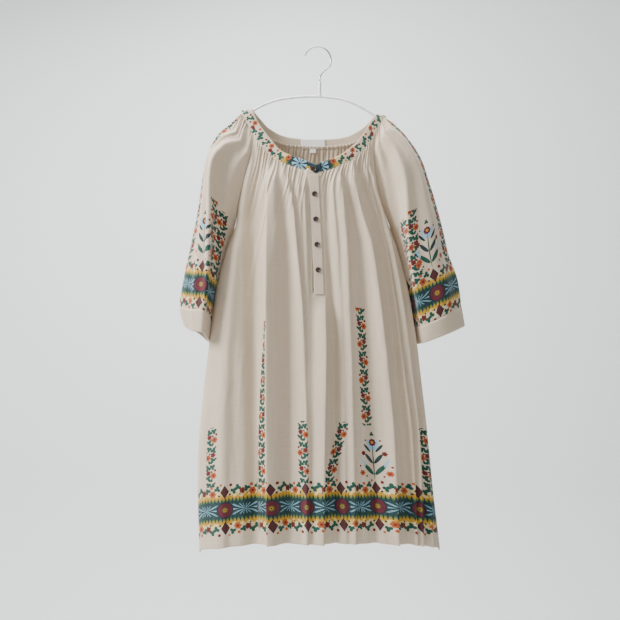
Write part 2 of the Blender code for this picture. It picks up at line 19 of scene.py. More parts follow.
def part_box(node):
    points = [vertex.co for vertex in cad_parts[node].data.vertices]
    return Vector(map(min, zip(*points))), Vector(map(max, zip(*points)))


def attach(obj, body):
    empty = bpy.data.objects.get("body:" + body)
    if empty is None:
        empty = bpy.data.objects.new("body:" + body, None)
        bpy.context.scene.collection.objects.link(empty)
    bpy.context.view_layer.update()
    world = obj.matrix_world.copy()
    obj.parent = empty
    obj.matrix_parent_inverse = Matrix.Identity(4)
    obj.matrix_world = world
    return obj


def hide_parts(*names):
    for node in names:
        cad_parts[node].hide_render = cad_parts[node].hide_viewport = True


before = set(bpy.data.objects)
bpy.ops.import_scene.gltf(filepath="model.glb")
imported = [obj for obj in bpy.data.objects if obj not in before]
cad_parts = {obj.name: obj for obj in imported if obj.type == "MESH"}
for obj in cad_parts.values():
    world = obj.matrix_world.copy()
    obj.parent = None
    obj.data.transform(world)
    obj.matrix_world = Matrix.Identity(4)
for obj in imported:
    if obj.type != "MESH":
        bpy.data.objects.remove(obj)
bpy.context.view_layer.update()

MM = 0.001
LOG = logging.getLogger("peasant_dress")

# Cut of the part's solids, in the same rows as they are built from
UNDERARM_LEVEL = 4
HEM_LEVEL = 11
SLEEVE_END_LEVEL = 7
CUFF_END_LEVEL = 8
NECKBAND = (
    # upper_x, upper_z, lower_x, lower_z, depth
    (-3, -252, -3, -272, -38),
    (-49, -234, -59, -253, -33),
    (-76, -222, -91, -237, -28),
    (-102, -191, -124, -204, -20),
    (-122, -163, -142, -173, -12),
    (-135, -136, -155, -148, -6),
    (-138, -128, -158, -139, 0),
    (-134, -133, -153, -146, 6),
    (-120, -149, -136, -163, 11),
    (-100, -169, -109, -190, 13),
    (-64, -185, -68, -207, 16),
    (0, -190, 0, -212, 17),
    (55, -186, 60, -208, 16),
    (88, -172, 97, -193, 13),
    (107, -157, 120, -174, 11),
    (119, -143, 134, -154, 6),
    (123, -139, 139, -147, 0),
    (120, -145, 135, -156, -6),
    (112, -156, 127, -174, -12),
    (97, -183, 111, -201, -20),
    (76, -209, 88, -229, -28),
    (44, -233, 51, -252, -33),
    (-3, -252, -3, -272, -38),
)
BAND_FLARE = 1.03
FRONT_LEFT_RAGLAN = 3.4
BACK_LEFT_RAGLAN = 8.5
BACK_RIGHT_RAGLAN = 13.6
FRONT_RIGHT_RAGLAN = 18.4
BODY = (
    # left_x, left_z, right_x, right_z, back_rise, front_edge, back_edge, front_depth, back_depth, round_off
    (-135, -186, 119, -188, 18, -16, 10, -38, 17, 1.00),
    (-141, -235, 117, -222, 12, -20, 15, -44, 22, 1.00),
    (-153, -280, 121, -266, 8, -19, 16, -47, 26, 0.90),
    (-165, -333, 131, -321, 4, -12, 12, -48, 29, 0.70),
    (-173, -378, 150, -376, 0, -0.15, 0.15, -49, 31, 0.50),
    (-194, -437, 173, -441, 0, -0.15, 0.15, -50, 33, 0.45),
    (-214, -517, 192, -525, 0, -0.15, 0.15, -51, 35, 0.45),
    (-226, -613, 206, -613, 0, -0.15, 0.15, -52, 37, 0.45),
    (-239, -718, 218, -718, 0, -0.15, 0.15, -54, 39, 0.45),
    (-249, -827, 232, -827, 0, -0.15, 0.15, -55, 41, 0.45),
    (-251, -928, 242, -928, 0, -0.15, 0.15, -57, 43, 0.45),
    (-248, -1060, 257, -1055, 0, -0.15, 0.15, -59, 45, 0.45),
)
SECTION_POWER = 2.4
SIDE_CROWDING = 0.35
HEM_RISE = 30.0
HEM_RISE_LEVEL = 7
SLEEVE_LEFT = (
    # seam_x, seam_z, outer_x, outer_z, crease_x, crease_depth, face_x, face_depth, back_x, back_depth,
    # crease_lift, face_lift
    (-141, -235, -182, -161, -160, -27, -173, -17, -166, 16, 0, 0),
    (-153, -280, -211, -192, -196, -36, -206, -19, -190, 24, 0, 0),
    (-165, -333, -231, -241, -219, -46, -229, -25, -212, 31, 0, 0),
    (-173, -378, -249, -340, -222, -51, -240, -30, -222, 37, 0, 0),
    (-193, -434, -264, -415, -223, -54, -248, -33, -236, 39, 6, 2),
    (-212, -507, -279, -478, -225, -54, -257, -34, -248, 40, 14, 5),
    (-223, -585, -289, -545, -231, -52, -264, -34, -256, 38, 26, 10),
    (-228, -622, -279, -584, -235, -47, -262, -30, -254, 33, 17, 2),
)
SLEEVE_RIGHT = (
    (117, -222, 158, -159, 136, -28, 149, -18, 142, 16, 0, 0),
    (121, -266, 190, -193, 160, -37, 180, -24, 168, 24, 0, 0),
    (131, -321, 220, -244, 179, -45, 206, -31, 196, 31, 0, 0),
    (150, -376, 254, -348, 185, -48, 228, -39, 215, 37, 0, 0),
    (173, -438, 274, -428, 189, -48, 238, -43, 235, 39, 0, 0),
    (190, -512, 292, -482, 202, -45, 252, -42, 252, 39, 0, 0),
    (204, -591, 302, -544, 217, -39, 262, -41, 262, 37, 0, 0),
    (209, -624, 309, -585, 223, -35, 266, -38, 266, 34, 0, 0),
)
PLACKET_TOP = (-8.0, -274.0)
PLACKET_END = (3.5, -520.0)
FLAT_HALF_WIDTH = 12.0
FLAT_FADE = 10.0
FLAT_BELOW = 10.0
FLAT_FADE_BELOW = 60.0
FLAT_DEPTHS = (-41.5, -50.5)

# Where the hem's print lies on the front: places along the hem, and how far across the print each one is.
# The step at the left is the cloth that the deep fold hides
PRINT_PLACES_X = (-252, -173.5, -109, -107, -76, -17, 52, 120, 201, 260)
PRINT_PLACES_U = (-79, 0, 64, 120, 160, 240, 320, 400, 480, 541)
# The sleeves' print starts at its eighth repeat, whose vine stands beside a sprig
SLEEVE_PRINT_START = 7 * 80
# How much further the neckband's print reaches to the left of the opening than to its right
BAND_PRINT_SHIFT = 28.0

# Heights at which the place and height of a fold are given
FOLD_HEIGHTS = (-250, -330, -420, -530, -640, -800, -1050)
# Rows of a panel that are tucked up behind the neckband: how far up and how far in each one lies
TUCK_ROWS = ((7.0, 3.6), (3.2, 2.6))
# Moves a motif off the cloth where it isn't printed
OUT_OF_REACH = 400.0
# Numbers of the Mix node's colour sockets
COLOUR_UNDER, COLOUR_OVER, MIXED_COLOUR = 6, 7, 2


class Side(Enum):
    """The sides of the dress as someone facing its front sees them."""

    LEFT = "left"
    RIGHT = "right"


class Panel(Enum):
    """The two panels of the dress's body."""

    FRONT = "front"
    BACK = "back"


def on_rows(rows: np.ndarray, at: np.ndarray | float) -> np.ndarray:
    """Reads a table at fractional row numbers, on a smooth curve through every row.

    Args:
        rows: the table, a row for each station.
        at: the row numbers wanted.

    Returns:
        A row of values for each number asked for.
    """
    rows = np.asarray(rows, float)
    at = np.clip(np.asarray(at, float), 0, len(rows) - 1)
    first = np.minimum(at.astype(int), len(rows) - 2)
    t = (at - first)[..., None]
    slopes = np.gradient(rows, axis=0)
    start = (1 + 2 * t) * (1 - t) ** 2 * rows[first] + t * (1 - t) ** 2 * slopes[first]
    end = t * t * (3 - 2 * t) * rows[first + 1] + t * t * (t - 1) * slopes[first + 1]
    return start + end


def unit(vectors: np.ndarray) -> np.ndarray:
    """The vectors at length 1."""
    return vectors / np.maximum(np.linalg.norm(vectors, axis=-1, keepdims=True), 1e-9)


def smooth_step(value: np.ndarray | float) -> np.ndarray:
    """An S-curve from 0 to 1."""
    value = np.clip(value, 0, 1)
    return value * value * (3 - 2 * value)


def along(line: np.ndarray) -> np.ndarray:
    """The distance from a line's first point to each of its points."""
    steps = np.linalg.norm(np.diff(line, axis=0), axis=-1)
    return np.concatenate([[0.0], np.cumsum(steps)])


def arc_share(line: np.ndarray) -> np.ndarray:
    """How far along a line each of its points lies, from 0 to 1."""
    length = along(line)
    return length / length[-1]


def spread_evenly(line: np.ndarray, count: int) -> np.ndarray:
    """The line again, as count + 1 points at even distances."""
    share = arc_share(line)
    wanted = np.linspace(0, 1, count + 1)
    return np.stack([np.interp(wanted, share, line[:, axis]) for axis in range(3)], axis=-1)


def down_from_top(grid: np.ndarray) -> np.ndarray:
    """How far each point of a grid lies below the top of its column, along the cloth."""
    return np.cumsum(np.linalg.norm(np.diff(grid, axis=0, prepend=grid[:1]), axis=-1), axis=0)


def grid_normals(grid: np.ndarray) -> np.ndarray:
    """Unit normals of a grid of points, on the side that the front's outer face shows."""
    down, across = np.gradient(grid, axis=(0, 1))
    return unit(np.cross(down, across))


def band_edges(at: np.ndarray | float) -> tuple[np.ndarray, np.ndarray]:
    """Upper and lower edge of the neckband, at fractional rows of its table."""
    upper_x, upper_z, lower_x, lower_z, depth = np.moveaxis(on_rows(NECKBAND, at), -1, 0)
    upper = np.stack([upper_x, depth, upper_z], axis=-1)
    lower = np.stack([lower_x, depth * BAND_FLARE, lower_z], axis=-1)
    return upper, lower


def below_band(at: np.ndarray | float, gap: float) -> np.ndarray:
    """Points the given gap under the neckband's lower edge, where the panels start."""
    upper, lower = band_edges(at)
    return lower + gap * unit(lower - upper)


def pin_ends(line: np.ndarray, start: np.ndarray, end: np.ndarray) -> np.ndarray:
    """The line moved so that its ends lie on two seams, by less and less towards its middle."""
    share = arc_share(line)[:, None]
    return line + (start - line[0]) * (1 - share) ** 3 + (end - line[-1]) * share ** 3


def soft_noise(points: np.ndarray, scale: tuple[float, float, float], seed: float) -> np.ndarray:
    """Smooth noise from about -1 to 1 at each point, with the given size of its lumps in millimetres.

    Args:
        points: an array of points in millimetres.
        scale: the lumps' size along X, Y and Z.
        seed: a shift that gives another noise.

    Returns:
        A value for each point.
    """
    flat = points.reshape(-1, 3) / np.array(scale) + seed
    values = [noise.noise(Vector(point)) for point in flat]
    return np.array(values).reshape(points.shape[:-1])


def placket_middle(z: np.ndarray | float) -> np.ndarray:
    """Where the placket's centre line lies at a height."""
    return np.interp(-np.asarray(z), [-PLACKET_TOP[1], -PLACKET_END[1]], [PLACKET_TOP[0], PLACKET_END[0]])


@dataclass(frozen=True)
class Fold:
    """A fold that runs down a panel.

    Attributes:
        places: its x at each of the fold heights.
        heights: how far it stands out there, or in where negative.
        half_width: half its width.
        lean: from -1 to 1, which way it falls over: negative towards the left.
    """

    places: tuple[float, ...]
    heights: tuple[float, ...]
    half_width: float
    lean: float = 0.0

    def push(self, x: np.ndarray, z: np.ndarray) -> tuple[np.ndarray, np.ndarray]:
        """How far the fold moves points sideways and outwards."""
        row = np.interp(-z, [-height for height in FOLD_HEIGHTS], range(len(FOLD_HEIGHTS)))
        values = on_rows(np.stack([self.places, self.heights], axis=-1), row)
        away = x - values[..., 0]
        narrow = self.half_width * (1 - 0.72 * abs(self.lean))
        width = np.where(away * self.lean > 0, narrow, self.half_width)
        bump = values[..., 1] * np.exp(-((away / width) ** 2))
        return 0.62 * self.lean * bump, bump


@dataclass
class Gathers:
    """Small gathers that a panel's top edge is drawn into.

    Attributes:
        count: how many there are across the edge.
        width: the edge's length in millimetres.
        seed: what their uneven places, heights and lengths are drawn from.
        height: how far an average one stands out.
        reach: how far down an average one runs.
        calm: the share of the edge at the middle that stays smooth, for a placket.
    """

    count: int
    width: float
    seed: int
    height: float = 1.9
    reach: float = 62.0
    calm: float = 0.0

    def heights(self, share: np.ndarray, down: np.ndarray) -> np.ndarray:
        """How far out the cloth stands at each share of the edge and distance below it."""
        draw = np.random.default_rng(self.seed)
        total = np.zeros(np.broadcast(share, down).shape)
        for number in range(self.count):
            middle = (number + 0.5 + draw.uniform(-0.3, 0.3)) / self.count
            high = self.height * draw.uniform(0.55, 1.35)
            reach = self.reach * draw.uniform(0.35, 1.0) ** 1.6 * draw.choice([0.8, 1.0, 2.3])
            drift = draw.uniform(-1, 1) * 0.35 / self.count
            if abs(middle - 0.5) < self.calm:
                continue
            sigma = (0.24 + 0.5 * smooth_step(down / (2.4 * reach))) * self.width / self.count
            place = (share - middle - drift * down / reach) * self.width
            fade = np.exp(-((down / reach) ** 1.5)) * (0.55 + 0.45 * smooth_step(down / 6.0))
            ridge = np.exp(-((place / sigma) ** 2)) - 0.45 * np.exp(-((place / sigma / 2) ** 2))
            total = total + high * fade * ridge
        return total


def new_object(name: str, bm: bmesh.types.BMesh, material: bpy.types.Material) -> bpy.types.Object:
    """Turns a bmesh into a smoothly shaded object of the scene.

    Args:
        name: the object's name.
        bm: its mesh, which is used up.
        material: its finish.

    Returns:
        The object.
    """
    mesh = bpy.data.meshes.new(name)
    bm.to_mesh(mesh)
    bm.free()
    mesh.shade_smooth()
    mesh.materials.append(material)
    made = bpy.data.objects.new(name, mesh)
    bpy.context.scene.collection.objects.link(made)
    return made


@dataclass
class ClothSheet:
    """A sheet of cloth as a grid of points, with the place of each point on the flat printed cloth.

    Attributes:
        name: the piece's name.
        grid: rows of points in millimetres.
        print_u: where each point lies across the print, in millimetres.
        print_v: how far each point lies above the print's lower edge, in millimetres.
        outer_turn: 1 where the grid's own normals point outwards and -1 where they point inwards.
        thickness: the cloth's thickness.
        skip: a test of column and row that leaves a cell open, as at a slit.
    """

    name: str
    grid: np.ndarray
    print_u: np.ndarray
    print_v: np.ndarray
    outer_turn: int = 1
    thickness: float = 0.7
    skip: Callable[[float, float], bool] | None = None

    def build(self, material: bpy.types.Material) -> bpy.types.Object:
        """Makes the sheet as a piece with a thin wall and one UV map, print, of each point's place on the
        print.

        Args:
            material: the cloth's finish.

        Returns:
            The piece.
        """
        rows, columns = self.grid.shape[0] - 1, self.grid.shape[1] - 1
        bm = bmesh.new()
        bmesh.ops.create_grid(bm, x_segments=columns, y_segments=rows, size=0.5)
        if self.skip:
            middles = [(face, face.calc_center_median()) for face in bm.faces]
            cut = [face for face, at in middles if self.skip((at.x + 0.5) * columns, (0.5 - at.y) * rows)]
            bmesh.ops.delete(bm, geom=cut, context="FACES")
        layer = bm.loops.layers.uv.new("print")
        places = {}
        for vert in bm.verts:
            places[vert.index] = (round((0.5 - vert.co.y) * rows), round((vert.co.x + 0.5) * columns))
        for face in bm.faces:
            for loop in face.loops:
                place = places[loop.vert.index]
                loop[layer].uv = (self.print_u[place] * MM, self.print_v[place] * MM)
        for vert in bm.verts:
            vert.co = Vector(self.grid[places[vert.index]]) * MM
        bmesh.ops.remove_doubles(bm, verts=bm.verts, dist=0.005 * MM)
        if self.outer_turn < 0:
            bmesh.ops.reverse_faces(bm, faces=bm.faces)
        piece = new_object(self.name, bm, material)
        if self.thickness:
            thicken = piece.modifiers.new("cloth thickness", "SOLIDIFY")
            thicken.thickness = self.thickness * MM
            thicken.offset = 0.0
            thicken.use_even_offset = False
        return piece


def hem_and_neck_rows(grid: np.ndarray, outward: float, hem_depth: float) -> tuple[np.ndarray, np.ndarray]:
    """Adds the cloth that is out of sight: tucked up behind the neckband and turned up inside the hem.

    Args:
        grid: the panel's points.
        outward: -1 on the front and 1 on the back, for the way its outer face looks.
        hem_depth: how far the hem is turned up.

    Returns:
        The grid with its added rows, and how far each row lies above the hem where it is turned up.
    """
    up = unit(grid[0] - grid[1])
    tuck = [grid[0] + up * rise - np.array([0, outward * inset, 0]) for rise, inset in TUCK_ROWS]
    inward = np.array([0, -outward, 0])
    last, before = grid[-1], grid[-4]
    climb = unit(before - last)
    turn = []
    for rise, inset in ((-0.5, 0.4), (-0.5, 1.1), (0.8, 1.5)):
        turn.append(last + climb * rise + inward * inset)
    length = along(grid[::-1, grid.shape[1] // 2])
    for rise in np.linspace(5.0, hem_depth, 4):
        at = np.interp(rise, length, np.arange(len(length)))
        turn.append(on_rows(grid[::-1].reshape(len(grid), -1), at).reshape(-1, 3) + inward * 1.5)
    rises = [0.0, 0.0, 0.8, *np.linspace(5.0, hem_depth, 4)]
    return np.concatenate([tuck, grid, turn]), np.array(rises)


@dataclass
class BodyPanel:
    """The front or the back of the dress, gathered into the neckband and open at the hem.

    Attributes:
        panel: which of the two it is.
        folds: the large folds that run down it.
        gathers: the small gathers under the neckband.
        columns: how many cells it has across.
        rows: how many rows it has, from the neck to the underarm and from there to the hem.
        seam: the gap at the neckband and at the side seams.
        hem_depth: how far the hem is turned up.
        print_above_hem: how far above the hem the print starts.
    """

    panel: Panel
    folds: tuple[Fold, ...]
    gathers: Gathers
    columns: int
    rows: tuple[int, int]
    seam: float = 0.3
    hem_depth: float = 24.0
    print_above_hem: float = 25.0

    @property
    def back(self) -> bool:
        """Whether this is the back panel."""
        return self.panel is Panel.BACK

    @property
    def outward(self) -> float:
        """The way the outer face looks along Y."""
        return 1.0 if self.back else -1.0

    def edge_point(self, left: bool, level: float) -> np.ndarray:
        """A point of the panel's side edge: the raglan seam, then the side seam."""
        if self.back:
            station = BACK_LEFT_RAGLAN if left else BACK_RIGHT_RAGLAN
        else:
            station = FRONT_LEFT_RAGLAN if left else FRONT_RIGHT_RAGLAN
        rows = [below_band(np.array(station), self.seam)]
        for left_x, left_z, right_x, right_z, rise, front_edge, back_edge in (row[:7] for row in BODY[1:]):
            x, z = (left_x, left_z) if left else (right_x, right_z)
            rows.append((x, back_edge if self.back else front_edge, z + (rise if self.back else 0)))
        return on_rows(rows, level)

    def levels(self) -> np.ndarray:
        """The levels of the rows, closer together under the neckband and above the hem."""
        upper, lower = self.rows
        neck = UNDERARM_LEVEL * np.linspace(0, 1, upper + 1) ** 1.5
        skirt = UNDERARM_LEVEL + (HEM_LEVEL - UNDERARM_LEVEL) * np.linspace(0, 1, lower + 1)
        return np.concatenate([neck, skirt[1:-1], [HEM_LEVEL - 0.045, HEM_LEVEL - 0.02, HEM_LEVEL]])

    def neck_line(self) -> np.ndarray:
        """The panel's top edge, just under the neckband."""
        if self.back:
            stations = np.linspace(BACK_LEFT_RAGLAN, BACK_RIGHT_RAGLAN, 601)
        else:
            left = np.linspace(FRONT_LEFT_RAGLAN, 0, 301)
            stations = np.concatenate([left, np.linspace(len(NECKBAND) - 1, FRONT_RIGHT_RAGLAN, 301)[1:]])
        return spread_evenly(below_band(stations, self.seam), 600)

    def shape(self) -> np.ndarray:
        """Works out the panel's points.

        Returns:
            A row of points for each level, from the neckband to the hem.
        """
        neck = self.neck_line()
        share = np.linspace(0, 1, len(neck))
        s = -np.cos(share * math.pi) * SIDE_CROWDING + (2 * share - 1) * (1 - SIDE_CROWDING)
        columns = np.linspace(0, 1, self.columns + 1)
        from_edge = 1 - np.abs(2 * columns - 1)
        calm = smooth_step(from_edge / 0.07)
        rows, levels = [], self.levels()
        for level in levels:
            left_x, left_z, right_x, right_z, rise, front_edge, back_edge = on_rows(BODY, level)[:7]
            front_mid, back_mid, round_off = on_rows(BODY, level)[7:]
            edge_y, mid_y = (back_edge, back_mid) if self.back else (front_edge, front_mid)
            crown = np.clip(1 - np.abs(s) ** SECTION_POWER, 0, 1) ** round_off
            line = np.stack(
                [
                    left_x + (right_x - left_x) * (s + 1) / 2,
                    edge_y + (mid_y - edge_y) * crown,
                    left_z + (right_z - left_z) * (s + 1) / 2 + (rise if self.back else 0),
                ],
                axis=-1,
            )
            if level == 0:
                pull = neck - line
            line = line + pull * max(0.0, 1 - level / UNDERARM_LEVEL)
            if not self.back:
                shift = placket_middle(line[len(line) // 2, 2]) - line[len(line) // 2, 0]
                line[:, 0] += shift * min(1.0, level) * (1 - s * s) ** 2
            hem_share = smooth_step((level - HEM_RISE_LEVEL) / (HEM_LEVEL - HEM_RISE_LEVEL))
            line[:, 2] += HEM_RISE * hem_share * crown
            line = pin_ends(line, self.edge_point(True, level), self.edge_point(False, level))
            rows.append(spread_evenly(line, self.columns))
        grid = np.array(rows)
        below_neck = down_from_top(grid)
        starting = smooth_step(below_neck / 45.0) * calm
        moved = grid.copy()
        for fold in self.folds:
            sideways, outwards = fold.push(grid[..., 0], grid[..., 2])
            moved[..., 0] += sideways * starting
            moved[..., 1] += self.outward * outwards * starting
        gathered = self.gathers.heights(columns[None, :], below_neck)
        moved[..., 1] += self.outward * gathered * calm
        easing = calm * smooth_step(below_neck / 40.0)
        moved[..., 1] += self.outward * 1.6 * soft_noise(grid, (26.0, 60.0, 120.0), 3.1) * easing
        moved[..., 1] += self.outward * 0.5 * soft_noise(grid, (9.0, 60.0, 34.0), 8.7) * easing
        if not self.back:
            moved = self.lie_flat(moved)
        near_seam = np.exp(-((from_edge * grid[..., 0].ptp(axis=1)[:, None] / 2 / 2.6) ** 2))
        moved[..., 1] -= self.outward * 1.0 * near_seam * (levels[:, None] <= UNDERARM_LEVEL + 0.5)
        hem_rise = below_neck[-1:] - below_neck
        ripple = np.sin(columns * self.columns * 0.9 + 2.0 * np.sin(columns * 40)) * 0.22
        moved[..., 1] += self.outward * ripple * np.exp(-(((hem_rise - self.hem_depth) / 3.0) ** 2)) * calm
        moved[..., 1] -= self.outward * 0.55 * np.exp(-(((hem_rise - self.hem_depth) / 1.6) ** 2))
        return moved

    def lie_flat(self, grid: np.ndarray) -> np.ndarray:
        """Holds the front smooth under the placket's double cloth."""
        x, y, z = grid[..., 0], grid[..., 1], grid[..., 2]
        away = np.abs(x - placket_middle(z))
        inside = 1 - smooth_step((away - FLAT_HALF_WIDTH) / FLAT_FADE)
        inside = inside * (1 - smooth_step((PLACKET_END[1] + FLAT_BELOW - z) / FLAT_FADE_BELOW))
        wanted = np.interp(-z, (-PLACKET_TOP[1], -PLACKET_END[1]), FLAT_DEPTHS)
        grid[..., 1] = y * (1 - inside) + wanted * inside
        return grid

    def seam_allowance(self, grid: np.ndarray) -> np.ndarray:
        """Adds a column at each side that turns in behind the seam."""
        centre = grid[:, grid.shape[1] // 2, 0][:, None]
        at_side = smooth_step((np.linspace(0, 1, len(grid)) * 6)[:, None])
        sides = []
        for edge in (grid[:, :1], grid[:, -1:]):
            turned = edge.copy()
            turned[..., 0] += np.sign(centre - edge[..., 0]) * 2.6 * at_side
            turned[..., 1] -= self.outward * 2.4 * (1 - at_side)
            sides.append(turned)
        return np.concatenate([sides[0], grid, sides[1]], axis=1)

    def sew_hem(self, grid: np.ndarray, thread: "SewingThread") -> None:
        """Adds the row of stitches that holds the hem."""
        upwards, normals = grid[::-1], grid_normals(grid)[::-1] * self.outer_turn()
        rise = along(upwards[:, grid.shape[1] // 2])
        row = np.interp(self.hem_depth - 1.5, rise, np.arange(len(rise)))
        line = on_rows(upwards.reshape(len(grid), -1), row).reshape(-1, 3)
        out = on_rows(normals.reshape(len(grid), -1), row).reshape(-1, 3)
        thread.add((line + out * 0.4)[2:-2], out[2:-2])

    def build(self, cloth: bpy.types.Material, thread: "SewingThread") -> bpy.types.Object:
        """Builds the panel as a piece in place of its solid.

        Args:
            cloth: the printed cotton.
            thread: the rows of stitches.

        Returns:
            The piece.
        """
        grid = self.shape()
        self.sew_hem(grid, thread)
        hem_line = self.print_along_hem(grid[-1])
        rises = down_from_top(grid[::-1])[::-1]
        full, turned = hem_and_neck_rows(grid, self.outward, self.hem_depth)
        tuck = np.repeat(rises[:1], 2, axis=0)
        inside = np.repeat(turned[:, None], grid.shape[1], axis=1) - 400.0
        print_v = np.concatenate([tuck, rises, inside]) - self.print_above_hem
        print_u = np.repeat(hem_line[None, :], len(full), axis=0)
        full = self.seam_allowance(full)
        pad = ((0, 0), (1, 1))
        print_u, print_v = np.pad(print_u, pad, mode="edge"), np.pad(print_v, pad, mode="edge")
        skip = None if self.back else self.slit(full)
        sheet = ClothSheet(self.panel.value + "_panel", full, print_u, print_v, self.outer_turn(), skip=skip)
        piece = sheet.build(cloth)
        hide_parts(self.panel.value)
        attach(piece, "root")
        return piece

    def print_along_hem(self, hem: np.ndarray) -> np.ndarray:
        """How far across the print each point of the hem lies, where the deep fold hides a stretch of it."""
        if self.back:
            return along(hem)
        return np.interp(np.linspace(hem[0, 0], hem[-1, 0], len(hem)), PRINT_PLACES_X, PRINT_PLACES_U)

    def outer_turn(self) -> int:
        """Whether the grid's faces have to be turned round to look outwards."""
        return -1 if self.back else 1

    def slit(self, grid: np.ndarray) -> Callable[[float, float], bool]:
        """The test that leaves the front open under the placket."""
        middle = grid.shape[1] // 2
        open_rows = int(np.sum(grid[:, middle, 2] > PLACKET_END[1] + 8.0))

        def in_slit(column: float, row: float) -> bool:
            """Whether a cell lies in the slit."""
            return row < open_rows and middle < column < middle + 1

        return in_slit


@dataclass
class SleeveFold:
    """A crease down a sleeve.

    Attributes:
        around: its place round the sleeve at the neck, the underarm and the sleeve's end, from 0 to 5.
        heights: how far it stands out there.
        half_width: half its width, in the same units as its place.
    """

    around: tuple[float, float, float]
    heights: tuple[float, float, float]
    half_width: float

    def height(self, around: np.ndarray, level: float) -> np.ndarray:
        """How far out the sleeve stands at each place round it."""
        stations = (1.0, UNDERARM_LEVEL, SLEEVE_END_LEVEL)
        middle = np.interp(level, stations, self.around)
        high = np.interp(level, stations, self.heights)
        return high * np.exp(-(((around - middle) / self.half_width) ** 2))


